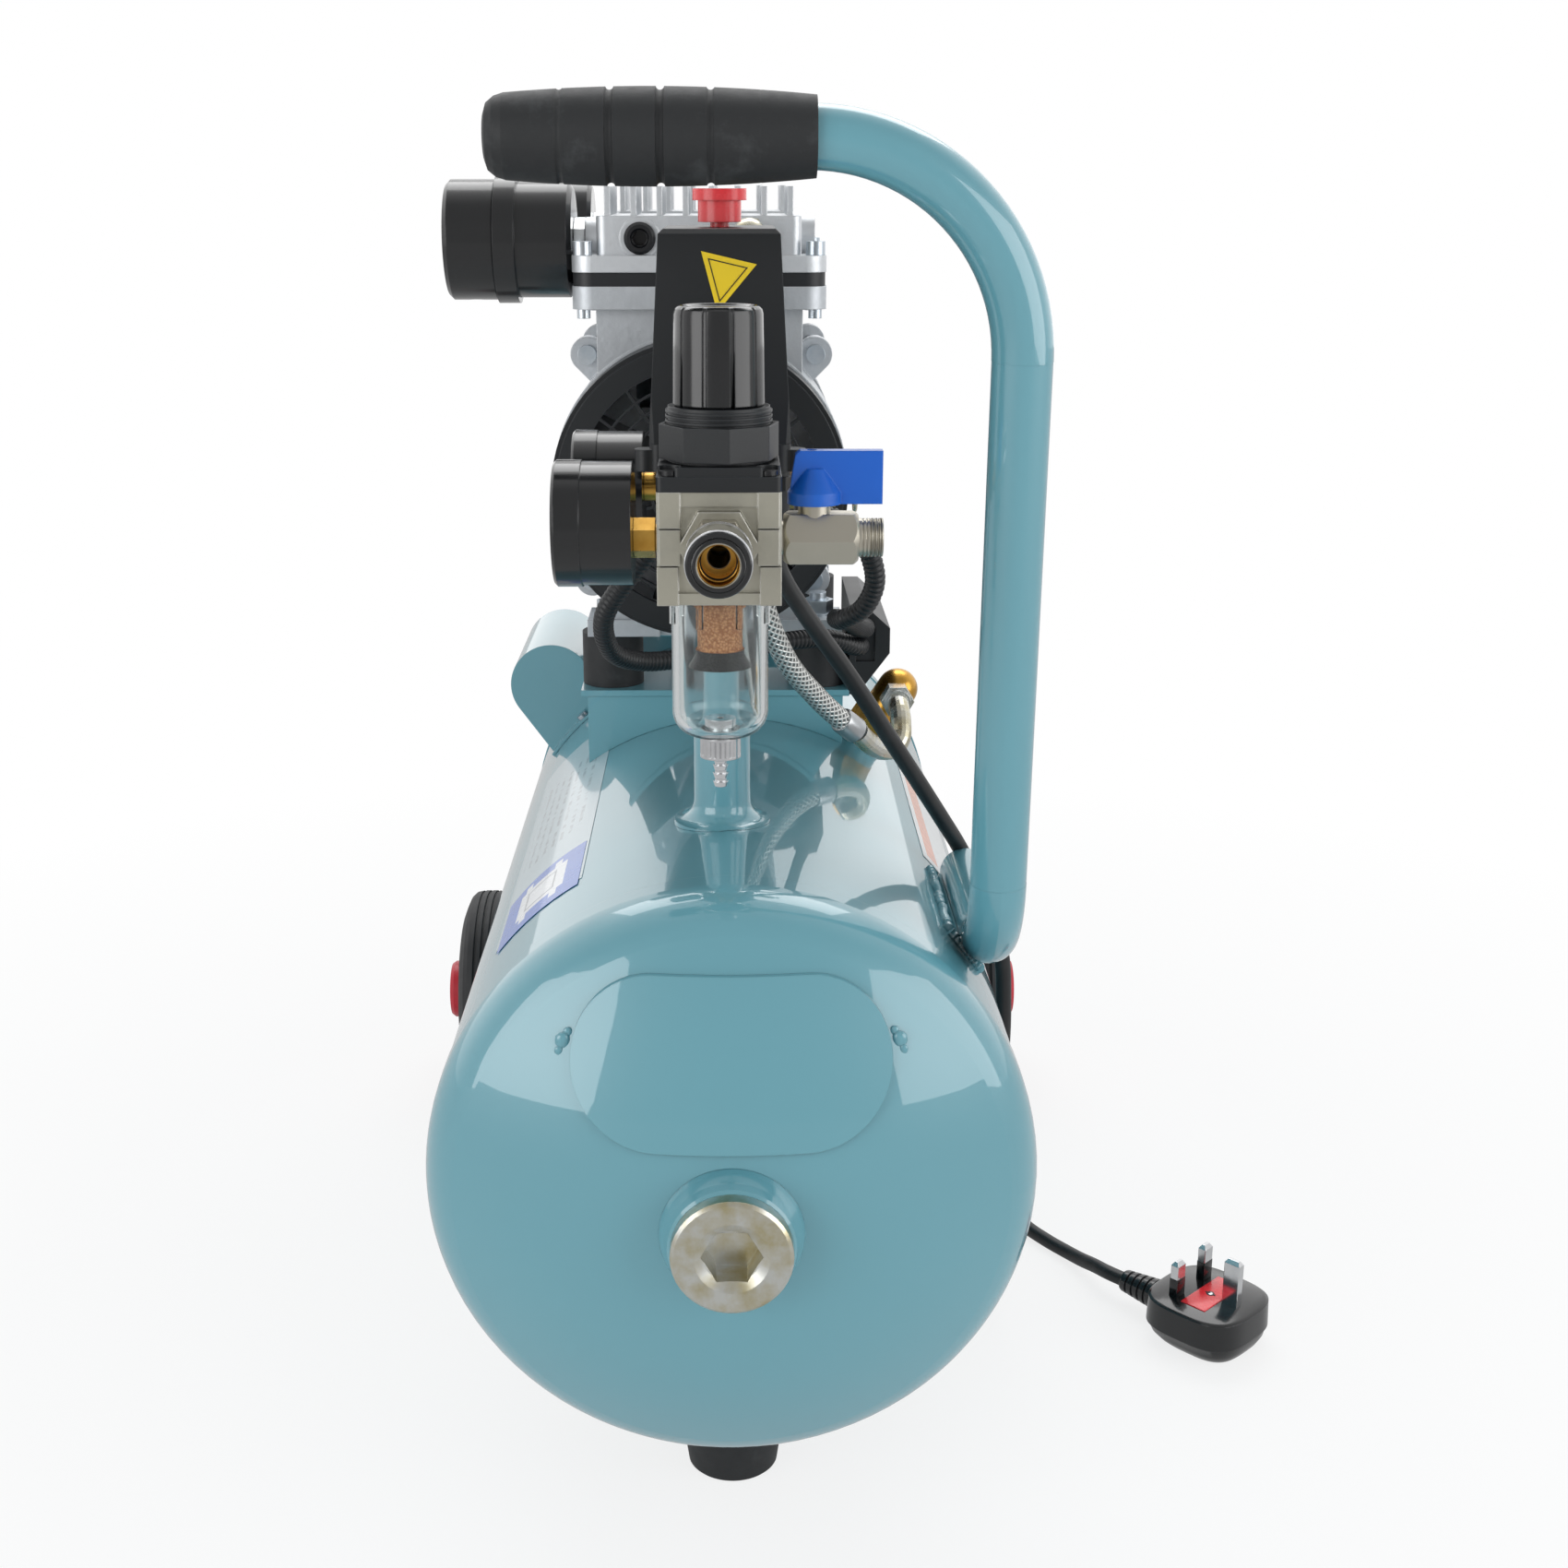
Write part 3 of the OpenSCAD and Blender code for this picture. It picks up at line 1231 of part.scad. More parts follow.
module regulator_bonnet() {
    pitch = 1.6;
    neck_h = knob_z - bonnet_z - 0.2;
    color(black) translate([reg_x, reg_y, bonnet_z]) {
        difference() {
            union() {
                slab(reg_w, reg_w, bonnet_t - 3, 2);
                slab(reg_w - 12, reg_w - 1, bonnet_t, 1.5);
                slab(reg_w - 1, reg_w - 12, bonnet_t, 1.5);
                translate([0, 0, eps]) cylinder(d = neck_d - 1.6, h = neck_h);
                for (k = [0:floor(neck_h/pitch) - 1])
                    translate([0, 0, k*pitch + 0.3]) cylinder(d = neck_d, h = pitch/2);
            }
            translate([0, 0, -1]) cylinder(d = 26, h = neck_h - 3);
            translate([0, 0, -1]) cylinder(d = screw_d + 2*fit, h = neck_h + 4);
            for (sx = [-1, 1], sy = [-1, 1])
                translate([sx*(reg_w/2 - 4.5), sy*(reg_w/2 - 4.5), 0]) {
                    translate([0, 0, -1]) cylinder(d = 3.5, h = 12);
                    translate([0, 0, bonnet_t - 3]) cylinder(d = 7.4, h = 4);
                }
        }
        translate([0, 0, nut_z - bonnet_z + bonnet_t - 4]) difference() {
            rotate(10) cylinder(d = 41, h = nut_h - 4, $fn = 8);
            translate([0, 0, -1]) cylinder(d = neck_d + 2*fit, h = nut_h + 2);
        }
    }
}

module regulator_screw() {
    color(zinc) translate([reg_x, reg_y, 0]) {
        translate([0, 0, bonnet_z + 10]) cylinder(d = screw_d, h = knob_z + knob_h - 8 - bonnet_z - 10);
        translate([0, 0, bonnet_z + 8]) cylinder(d = 16, h = 2.5);
    }
}

module regulator_knob() {
    ribs = 9;
    color(black) translate([reg_x, reg_y, knob_z]) difference() {
        union() {
            cylinder(d = knob_d - 2, h = knob_h - 1.5);
            translate([0, 0, knob_h - 1.51]) cylinder(d1 = knob_d - 2, d2 = knob_d - 6, h = 1.51);
            for (k = [0:ribs - 1]) rotate(k*360/ribs) intersection() {
                cylinder(d = knob_d, h = knob_h - 2.5);
                translate([0, -3.2, 0]) cube([knob_d, 6.4, knob_h]);
            }
        }
        translate([0, 0, -1]) cylinder(d = knob_d - 6, h = knob_h - 10);
        translate([0, 0, -1]) cylinder(d = screw_d + 2*fit, h = knob_h - 4);
    }
}

module filter_bowl() {
    r = bowl_d/2;
    low = -bowl_h;
    corner = 9;
    color("#e4eef2", 0.35) translate([reg_x, reg_y, reg_z]) difference() {
        union() {
            rotate_extrude() {
                difference() {
                    union() {
                        translate([0, low + corner]) square([r, bowl_h - corner - gap]);
                        translate([0, low]) square([r - corner, corner + eps]);
                        translate([r - corner, low + corner]) circle(corner);
                    }
                    translate([0, low + bowl_wall]) square([r - corner, bowl_h]);
                    translate([0, low + corner]) square([r - bowl_wall, bowl_h]);
                    translate([r - corner, low + corner]) circle(corner - bowl_wall);
                    translate([-2*r, low - 1]) square([2*r, bowl_h + 2]);
                }
            }
            for (k = [0:7]) rotate(45*k + 22.5) translate([r - 0.6, -1, -9]) cube([2, 2, 9 - gap]);
        }
        translate([0, 0, low - 1]) cylinder(d = 8 + 2*fit, h = 10);
    }
}

module filter_element() {
    color("#d98f55") translate([reg_x, reg_y, reg_z]) difference() {
        union() {
            translate([0, 0, -19]) cylinder(d = 15.6, h = 15);
            translate([0, 0, -4.01]) cylinder(d = 18, h = 4);
            translate([0, 0, -0.02]) cylinder(d = 11.6, h = 10);
            translate([0, 0, -21]) cylinder(d = 17, h = 2.01);
            translate([0, 0, -25]) cylinder(d1 = 22, d2 = 17, h = 4.01);
        }
        translate([0, 0, -16]) cylinder(d = 9, h = 30);
    }
}

module bowl_drain() {
    low = reg_z - bowl_h;
    color(zinc) translate([reg_x, reg_y, low]) difference() {
        union() {
            translate([0, 0, -8]) difference() {
                cylinder(d = 14.4, h = 7.6);
                for (k = [0:23]) rotate(15*k) translate([7.2, 0, 1]) cylinder(d = 0.9, h = 5.6, $fn = 4);
            }
            cylinder(d = 8, h = 6);
            translate([0, 0, -1]) cylinder(d = 8, h = 2);
            translate([0, 0, bowl_wall + gap]) cylinder(d = 11, h = 3.4);
            translate([0, 0, -19]) cylinder(d = 4, h = 12);
            for (z = [-19, -16, -13, -10.4]) translate([0, 0, z]) cylinder(d1 = 4.2, d2 = 5.4, h = 2);
        }
        translate([0, 0, -20]) cylinder(d = 2.4, h = 40);
    }
}

// ---------- coupler and ball valve ----------

sleeve_l = 18;
nose_d = 17;
hex_back = -(reg_y - reg_w/2) - 0.5;      // distance of the hexagon's back face in front of Y = 0

module coupler_body() {
    face = -coupler_face;
    color(zinc) translate([reg_x, 0, port_z]) rotate([90, 0, 0]) difference() {
        union() {
            translate([0, 0, hex_back + 1]) hex(19, 5);
            translate([0, 0, hex_back - 6]) cylinder(d = port_d, h = 8);
            translate([0, 0, hex_back + 5]) cylinder(d = nose_d, h = face - hex_back - 5);
        }
        translate([0, 0, face - 16]) cylinder(d = coupler_bore, h = 20);
        translate([0, 0, hex_back - 8]) cylinder(d = 7.5, h = 30);
    }
}

module coupler_sleeve() {
    face = -coupler_face - 1.5;
    color(zinc) translate([reg_x, 0, port_z]) rotate([90, 0, 0]) difference() {
        union() {
            translate([0, 0, face - sleeve_l]) cylinder(d = sleeve_d, h = sleeve_l - 1);
            translate([0, 0, face - 1.01]) cylinder(d1 = sleeve_d, d2 = sleeve_d - 1.6, h = 1.01);
        }
        translate([0, 0, face - sleeve_l - 1]) cylinder(d = nose_d + 2*fit, h = sleeve_l + 2);
        for (z = [1, 3.4]) translate([0, 0, face - sleeve_l + z]) pipe(sleeve_d + 2, sleeve_d - 0.8, 1);
    }
}

module ball_valve_body() {
    end = valve_x + valve_l;
    color("#a8a595") translate([0, reg_y, port_z]) difference() {
        union() {
            translate([valve_x, 0, 0]) rotate([0, 90, 0]) intersection() {
                rotate([0, 0, 30]) hex(valve_af, valve_l);
                rotate_extrude() polygon([[0, 0], [valve_af/2 - 0.6, 0], [valve_af*0.6, 2.4],
                    [valve_af*0.6, valve_l - 2.4], [valve_af/2 - 0.6, valve_l], [0, valve_l]]);
            }
            translate([valve_x - 7, 0, 0]) rotate([0, 90, 0]) cylinder(d = port_d, h = 8);
            translate([end - 1, 0, 0]) rotate([0, 90, 0]) cylinder(d = outlet_d, h = thread_l + 1);
            translate([stem_x, 0, 5]) cylinder(d = 11, h = lever_z - gap - port_z - 5);
        }
        translate([stem_x, 0, 0]) sphere(d = ball_d + 2*fit);
        translate([valve_x - 8, 0, 0]) rotate([0, 90, 0]) cylinder(d = 8, h = 60);
        translate([stem_x, 0, 0]) cylinder(d = 6 + 2*fit, h = 20);
        for (k = [0:4]) translate([end + 1.2 + 1.34*k, 0, 0]) rotate([0, 90, 0])
            pipe(outlet_d + 2, outlet_d - 1, 0.5);
    }
}

module valve_ball() {
    color(zinc) translate([stem_x, reg_y, port_z]) difference() {
        union() {
            sphere(d = ball_d);
            cylinder(d = 6, h = lever_z - port_z + 4);
        }
        rotate([0, 90, 0]) cylinder(d = 7.5, h = 20, center = true);
    }
}

module valve_lever() {
    color("#0b4fc4") translate([stem_x, reg_y, lever_z]) difference() {
        union() {
            cylinder(d = lever_hub_d, h = 4);
            translate([0, 0, 3.99]) cylinder(d1 = lever_hub_d, d2 = 8, h = 8);
            translate([0, lever_t/2, 0]) rotate([90, 0, 0]) linear_extrude(lever_t)
                polygon([[0, 0], [lever_len - 9, 0], [lever_len - 9, lever_h], [-5, lever_h],
                    [-6.6, lever_h - 1.4], [-7.6, lever_h - 7], [-8.6, 3], [-8.6, 1]]);
        }
        translate([0, 0, -1]) cylinder(d = 6.02, h = 5.1);
        translate([-1, 0, lever_h - 3]) cylinder(d = 3.6, h = 5);
    }
}

// ---------- check valve, hose, conduits ----------

module check_frame() {
    translate([0, check_y, axis_z]) rotate([0, check_turn, 0]) children();
}

module check_valve() {
    color(brassy) check_frame() difference() {
        union() {
            translate([0, 0, check_base - 9]) cylinder(d = check_stub_d, h = 10);
            translate([0, 0, check_base + fit]) hex(22, 11);
            translate([0, 0, check_base + 10.5]) cylinder(d = 19.6, h = 15);
            translate([0, 0, check_base + 25.4]) sphere(d = 19.6);
        }
        translate([0, 0, check_base - 10]) cylinder(d = 7, h = check_port + 12);
        translate([0, 0, check_base + check_port]) rotate([90, 0, 0]) cylinder(d = 7, h = 20);
    }
}

check_side = [(check_base + check_port)*sin(check_turn), check_y,
    axis_z + (check_base + check_port)*cos(check_turn)];
elbow_end = check_side + [-20.7, -55, -5.4];
outlet = [pump_x + 22, pump_y - cyl_y - head_l/2 - 7, head_z + 16];

module hose_fittings() {
    color(zinc) {
        translate(check_side) rotate([90, 0, 0]) {
            translate([0, 0, 10.1]) hex(14, 9);
            translate([0, 0, 19]) cylinder(d = 12.6, h = 3.3);
        }
        route(smooth([for (p = [[0, -22.2, 0], [0, -28, -0.6], [0.4, -34, -5.4], [0, -38.5, -12.4],
            [-3.7, -42, -16.4], [-9.7, -46, -15.9], [-15.7, -50.5, -11.4],
            elbow_end - check_side]) check_side + p], 3), 10, 16);
        translate([pump_x + 30, pump_y - cyl_y + head_l/2 - 14, head_z + 14]) rotate([-90, 0, 0])
            cylinder(d = 10, h = cyl_pitch - head_l + 28);
    }
    color(brassy) translate(outlet) {
        rotate([-90, 0, 0]) {
            cylinder(d = 10, h = 20);
            hex(14, 9);
        }
        sphere(d = 15);
        translate([0, 0, -16]) cylinder(d = 11, h = 16);
    }
}

module braided_hose() {
    color("#a7a9aa") route(smooth([outlet - [0, 0, 16.1], outlet - [0, 0, 24],
        for (p = [[22.5, -33, 464], [23, -41, 450], [24, -50, 434], [25, -64, 400], [25, -72, 366],
            [28, -71, 340], [38, -60, 314], [51, -46, 295], [63, -35, 281]]) p + [pump_x, 0, 0],
        elbow_end], 4), hose_d, 12);
}

module conduits() {
    color(black) {
        route(smooth([conduit_starts[0], conduit_starts[0] - [0, 0, 10], [-30, post_y + 24, 378],
            [-42, post_y + 30, 362], [-52, post_y + 40, 344], [-50, -94, 326], [-38, -74, 317], [-18, -58, 315],
            [4, -46, 316], [26, -34, 317], [44, -20, 315], [box_x + 2, -6, 308],
            [box_x + 5.5, box_y - 0.1, 306]], 3), conduit_d, 10);
        route(smooth([conduit_starts[1], conduit_starts[1] - [0, 0, 8], [28, post_y + 34, 388],
            [44, post_y + 42, 384], [55, post_y + 46, 374], [60, post_y + 51, 358], [56, -95, 345], [48, -86, 338], [46, -66, 334],
            [52, -42, 328], [box_x + 2, -18, 320], [box_x + 6.5, -4, 316],
            [box_x + 7, box_y - 0.1, 315.5]], 3), conduit_d, 10);
    }
}

// ---------- tank drain ----------

module drain_screw() {
    color(brassy) translate([0, drain_y, 0]) {
        translate([0, 0, drain_z + 6]) cylinder(d = 10, h = tank_lift - drain_z - 4);
        translate([0, 0, drain_z]) hex(drain_d, 6.01);
        translate([-9, -1.5, drain_z - 8]) cube([18, 3, 8.01]);
    }
}

// ---------- power cord ----------

module cord_upper() {
    color(black) route(smooth(cord_top_path, 3), cord_d, 10);
}

module cord_lower() {
    color(black) route(smooth(cord_low_path, 3), cord_d, 10);
}

module cord_coil() {
    color(black) translate([coil_x, coil_y, 0.1])
        pipe(coil_d, coil_d - 4*cord_d - 1, coil_rows*cord_d);
}

// the plug lies on its back, pins up; the earth pin points along +X here
module plug_frame() {
    translate([plug_x, plug_y0, 0]) rotate([0, 0, plug_turn]) children();
}

module plug_body() {
    color(black) plug_frame() difference() {
        union() {
            translate([10, 0, plug_t - 9]) slab(48, 49, 9, 13);
            translate([12, 0, 0.1]) slab(40, 40, plug_t - 8.9, 14);
            translate([-12.5, 0, 11]) rotate([0, -90, 0]) cylinder(d1 = 15, d2 = 9.5, h = strain_l);
            translate([-12.6, 0, 11]) rotate([0, 90, 0]) cylinder(d = 15, h = 8);
        }
        for (y = [-pin_pitch/2, pin_pitch/2]) translate([-2 - 0.02, y - 3.2, plug_t - 4]) cube([4.04, 6.4, 6]);
        translate([pin_pitch - 4.02, -2.02, plug_t - 4]) cube([8.04, 4.04, 6]);
    }
}

module plug_pins() {
    color(zinc) plug_frame() {
        for (y = [-pin_pitch/2, pin_pitch/2]) translate([-2, y - 3.15, plug_t - 4]) cube([4, 6.3, 21.7]);
        translate([pin_pitch - 4, -2, plug_t - 4]) cube([8, 4, 26.7]);
    }
}

tank_shell();
tank_heads();
tank_fittings();
socket_plugs();
front_foot();
handle_tube();
handle_grip();
saddles();
rubber_mounts();
fasteners();
capacitor_cover();
capacitor();
motor_shell();
stator();
crankcases();
cylinders_and_pistons();
valve_plates();
cylinder_heads();
fan_covers();
intake_filters();
post_tube();
manifold();
switch_base();
switch_cover();
terminal_box();
gauge_cases();
gauge_dials();
gauge_lenses();
regulator_body();
regulator_bonnet();
filter_bowl();
filter_element();
coupler_body();
ball_valve_body();
check_valve();
hose_fittings();
braided_hose();
conduits();
tyre_left();
hub_left();
tyre_right();
hub_right();
rotor_shaft();
fans();
regulator_screw();
regulator_knob();
valve_lever();
valve_ball();
switch_knob();
coupler_sleeve();
bowl_drain();
needle_front();
needle_rear();
safety_pull();
drain_screw();
cord_upper();
cord_coil();
cord_lower();
plug_body();
plug_pins();
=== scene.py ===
# %% [markdown]
# # A portable air compressor, dressed for its picture
# The compressor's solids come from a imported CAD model, and they stay exactly where that model puts them.
# This lesson gives them paint, rubber, cast metal and clear plastic, and adds the pieces that a solid
# model leaves plain: the ribbed hoses, the woven hose, weld beads, labels and the power cord.
# Every length is in metres, with the floor at zero height and the tank lying along Y.

# %% Load the frame
import math

import bpy
import bmesh
from mathutils import Matrix, Vector
from mathutils.geometry import interpolate_bezier


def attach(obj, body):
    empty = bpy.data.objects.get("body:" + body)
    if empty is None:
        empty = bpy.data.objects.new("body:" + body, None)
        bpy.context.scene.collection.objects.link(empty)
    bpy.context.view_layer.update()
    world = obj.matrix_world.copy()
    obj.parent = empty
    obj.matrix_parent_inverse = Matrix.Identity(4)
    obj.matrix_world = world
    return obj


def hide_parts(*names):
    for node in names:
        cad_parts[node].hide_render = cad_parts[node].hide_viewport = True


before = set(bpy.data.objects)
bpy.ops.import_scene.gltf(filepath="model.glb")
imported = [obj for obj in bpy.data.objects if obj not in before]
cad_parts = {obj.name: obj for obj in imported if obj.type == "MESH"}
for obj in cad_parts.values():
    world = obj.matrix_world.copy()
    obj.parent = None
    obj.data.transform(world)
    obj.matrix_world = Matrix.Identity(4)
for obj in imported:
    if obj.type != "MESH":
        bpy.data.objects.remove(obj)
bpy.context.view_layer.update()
MM = 0.001

# %% [markdown]
# The camera stands a little under a metre in front of the tank's regulator end and looks down on it.
# A moderate lens that close makes the domed end large and the wheels small, which is most of the
# character of this view. The small shift only slides the frame, it doesn't turn the camera.

# %% Camera
camera_data = bpy.data.cameras.new("camera")
camera_data.sensor_width = 36
camera_data.lens = 46.6
camera_data.shift_x = 0.0191
camera_data.clip_start = 0.05
camera = bpy.data.objects.new("camera", camera_data)
camera.location = (0.0011, -0.931, 0.517)
camera.rotation_euler = (math.radians(90 - 16.6), 0, math.radians(-0.6))
bpy.context.scene.collection.objects.link(camera)
bpy.context.scene.camera = camera
print("camera at", tuple(round(v, 3) for v in camera.location))

# %% [markdown]
# Shader maths reads best as sums. The class below wraps one output socket, so that `1 - grain * 0.2`
# builds its own Math nodes, and a finish is a few lines instead of a page of links.

# %% A socket that does sums
class Wire:
    """One output socket, used like a number in sums."""

    def __init__(self, finish, socket):
        self.finish = finish
        self.socket = socket

    def sum(self, operation, first, second):
        return self.finish.node("ShaderNodeMath", {"operation": operation}, {0: first, 1: second})

    def __add__(self, other):
        return self.sum("ADD", self, other)

    def __radd__(self, other):
        return self.sum("ADD", other, self)

    def __sub__(self, other):
        return self.sum("SUBTRACT", self, other)

    def __rsub__(self, other):
        return self.sum("SUBTRACT", other, self)

    def __mul__(self, other):
        return self.sum("MULTIPLY", self, other)

    def __rmul__(self, other):
        return self.sum("MULTIPLY", other, self)

    def __truediv__(self, other):
        return self.sum("DIVIDE", self, other)

    def __pow__(self, other):
        return self.sum("POWER", self, other)

    def over(self, other):
        return self.sum("GREATER_THAN", self, other)

    def top(self, other):
        return self.sum("MAXIMUM", self, other)

    def wave(self):
        return self.finish.node("ShaderNodeMath", {"operation": "SINE"}, {0: self})


# %% [markdown]
# Colours are picked on screen as six-figure codes, but a shader works in linear light, so each code is
# converted once. A finish then starts from the Principled shader, and only colour, roughness, metal
# and the bump change over its surface.

# %% Colours and finishes
def tint(code):
    """A screen colour such as 6FA3AE in linear light."""
    parts = [int(code[i:i + 2], 16) / 255 for i in (0, 2, 4)]
    return tuple(c / 12.92 if c < 0.04045 else ((c + 0.055) / 1.055) ** 2.4 for c in parts) + (1,)


class Finish:
    """A material on the Principled shader, with one method for every other node."""

    def __init__(self, name, color, roughness=0.5, metallic=0.0, **constants):
        self.material = bpy.data.materials.new(name)
        self.material.use_nodes = True
        self.tree = self.material.node_tree
        self.shader = self.tree.nodes["Principled BSDF"]
        self.color = tint(color) if isinstance(color, str) else color
        self.shader.inputs["Base Color"].default_value = self.color
        self.shader.inputs["Roughness"].default_value = roughness
        self.shader.inputs["Metallic"].default_value = metallic
        for label, value in constants.items():
            self.shader.inputs[label.replace("_", " ")].default_value = value
        self.place = self.node("ShaderNodeTexCoord", out="Object")

    def node(self, kind, settings=None, inputs=None, out=0):
        made = self.tree.nodes.new(kind)
        for label, value in (settings or {}).items():
            if label == "stops":
                ramp = made.color_ramp
                while len(ramp.elements) < len(value):
                    ramp.elements.new(0.5)
                for element, (position, shade) in zip(ramp.elements, value):
                    element.position = position
                    element.color = tint(shade) if isinstance(shade, str) else (shade, shade, shade, 1)
            else:
                setattr(made, label, value)
        for label, value in (inputs or {}).items():
            if isinstance(value, Wire):
                self.tree.links.new(value.socket, made.inputs[label])
            else:
                made.inputs[label].default_value = value
        return Wire(self, made.outputs[out])

    def noise(self, scale, detail=2.0, roughness=0.5, vector=None):
        return self.node("ShaderNodeTexNoise", None, {"Vector": vector or self.place, "Scale": scale,
                         "Detail": detail, "Roughness": roughness})

    def grains(self, scale, vector=None):
        return self.node("ShaderNodeTexVoronoi", None, {"Vector": vector or self.place, "Scale": scale})

    def stretched(self, x, y, z):
        return self.node("ShaderNodeMapping", None, {"Vector": self.place, "Scale": (x, y, z)})

    def axes(self):
        parts = self.tree.nodes.new("ShaderNodeSeparateXYZ")
        self.tree.links.new(self.place.socket, parts.inputs[0])
        return [Wire(self, parts.outputs[i]) for i in range(3)]

    def near(self, point, reach):
        """1 at a point, 0 at a distance of reach from it."""
        gap = self.node("ShaderNodeVectorMath", {"operation": "DISTANCE"}, {0: self.place, 1: point},
                        out="Value")
        return self.ramp(gap / reach, [(0, 1.0), (1, 0.0)])

    def ramp(self, value, stops):
        return self.node("ShaderNodeValToRGB", {"stops": stops}, {0: value})

    def blend(self, factor, first, second):
        first = tint(first) if isinstance(first, str) else first
        second = tint(second) if isinstance(second, str) else second
        return self.node("ShaderNodeMix", {"data_type": "RGBA"}, {0: factor, 6: first, 7: second}, out=2)

    def rounded(self, radius=0.0005):
        """The surface's normal, with its sharp edges rounded off."""
        return self.node("ShaderNodeBevel", {"samples": 4}, {"Radius": radius})

    def rims(self, radius=0.0008):
        """1 along sharp edges, 0 on flat surfaces."""
        straight = self.node("ShaderNodeNewGeometry", out="Normal")
        agree = self.node("ShaderNodeVectorMath", {"operation": "DOT_PRODUCT"},
                          {0: self.rounded(radius), 1: straight}, out="Value")
        return self.ramp(1 - agree, [(0.02, 0.0), (0.25, 1.0)])

    def feed(self, label, value):
        self.tree.links.new(value.socket, self.shader.inputs[label])

    def bump(self, height=None, depth=0.0001, strength=1.0, edge=0.0005):
        normal = self.rounded(edge) if edge else None
        if height is not None:
            inputs = {"Height": height, "Distance": depth, "Strength": strength}
            if normal:
                inputs["Normal"] = normal
            normal = self.node("ShaderNodeBump", None, inputs)
        if normal:
            self.feed("Normal", normal)


print("teal in linear light:", [round(c, 3) for c in tint("6FA3AE")])

# %% [markdown]
# Paint on a welded tank is thick and glossy. It pools a little, so its gloss varies in broad clouds, and
# its surface has the faint waviness called orange peel. A coat on top of the colour gives the sharp
# reflections of the lamps.

# %% Teal paint
def teal_paint():
    f = Finish("teal_paint", "629DAA", 0.3, Coat_Weight=1.0, Coat_Roughness=0.03, Coat_IOR=1.6)
    clouds = f.noise(7, 3)
    peel = f.noise(260, 1)
    shade = f.blend(clouds * 0.5, "5E99A6", "68A3B0")
    handle_soot = f.near((0.09, -0.192, 0.229), 0.02) * f.noise(120, 4, 0.7)
    soot = f.ramp(handle_soot, [(0.1, 0.0), (0.42, 1.0)])
    f.feed("Base Color", f.blend(soot * 0.7, shade, "2E4447"))
    f.feed("Roughness", 0.24 + clouds * 0.16)
    f.bump(peel + f.noise(30, 2) * 3, 0.00003, 0.5, 0.0008)
    return f.material


TEAL = teal_paint()
print("made", TEAL.name)

# %% [markdown]
# The black pieces are not one black. Moulded housings have a fine grain, the caps and filters are shiny,
# and rubber is soft grey where dust sits in it.

# %% Black plastics and rubber
def grained_black(name, color="15181B", roughness=0.42, grain=900, depth=0.00004):
    f = Finish(name, color, roughness)
    fine = f.noise(grain, 2)
    wear = f.rims(0.0006)
    f.feed("Base Color", f.blend(wear * 0.35, color, "4A5055"))
    f.feed("Roughness", roughness - 0.06 + f.noise(40, 3) * 0.12)
    f.bump(fine, depth, 0.6, 0.0006)
    return f.material


def gloss_black(name, color="101113", roughness=0.14):
    f = Finish(name, color, roughness, Coat_Weight=0.3, Coat_Roughness=0.08)
    smears = f.noise(60, 3)
    f.feed("Base Color", f.blend(f.rims(0.0005) * 0.3, color, "50555A"))
    f.feed("Roughness", roughness + smears * 0.12)
    f.bump(f.noise(150, 1), 0.00001, 0.4, 0.0006)
    return f.material


def soft_rubber(name, color="1D1F21", roughness=0.62, dust="55585A"):
    f = Finish(name, color, roughness)
    scuffs = f.ramp(f.noise(45, 5, 0.7), [(0.55, 0.0), (0.75, 1.0)])
    f.feed("Base Color", f.blend(scuffs * 0.3, color, dust))
    f.feed("Roughness", roughness - 0.1 + f.noise(200, 3) * 0.2)
    f.bump(f.noise(700, 3), 0.00008, 0.6, 0.0006)
    return f.material


BLACK = grained_black("moulded_black")
GLOSS = gloss_black("gloss_black")
RUBBER = soft_rubber("black_rubber")
print("made", BLACK.name, GLOSS.name, RUBBER.name)

# %% [markdown]
# Cast aluminium comes out of its mould with a fine sandy skin, bright along the edges that get rubbed.
# Plated steel is smoother, bluish or yellowish by turns, and nickel is warm and soft in its shine.

# %% Metals
def cast_metal(name, color, roughness=0.42, grain=500, depth=0.00012, metallic=0.75):
    f = Finish(name, color, roughness, metallic)
    skin = f.noise(grain, 4, 0.65)
    pits = f.grains(grain * 0.8)
    dirt = f.ramp(f.noise(60, 4, 0.7), [(0.45, 0.0), (0.8, 1.0)])
    bright = f.blend(f.rims(0.0007) * 0.5, color, "F2F3F4")
    f.feed("Base Color", f.blend(dirt * 0.18, bright, "6C6F72"))
    f.feed("Roughness", roughness - 0.08 + skin * 0.2)
    f.bump(skin + pits * 0.5, depth, 0.6, 0.0007)
    return f.material


def patches(f, color, second):
    return f.blend(f.ramp(f.noise(70, 4, 0.6), [(0.4, 0.0), (0.65, 1.0)]), color, second)


def plated(name, color, second, roughness=0.25, metallic=1.0):
    f = Finish(name, color, roughness, metallic)
    f.feed("Base Color", patches(f, color, second))
    f.feed("Roughness", roughness - 0.05 + f.noise(220, 3) * 0.16)
    f.bump(f.noise(400, 2), 0.00002, 0.5, 0.0004)
    return f.material


HEAD_CAST = cast_metal("cast_head", "D5D8DB", 0.4, 420)
CASE_CAST = cast_metal("cast_case", "C2C6CA", 0.45, 380, 0.00018)
BODY_CAST = cast_metal("cast_zinc", "B4B1A3", 0.36, 650, 0.0001, 0.85)


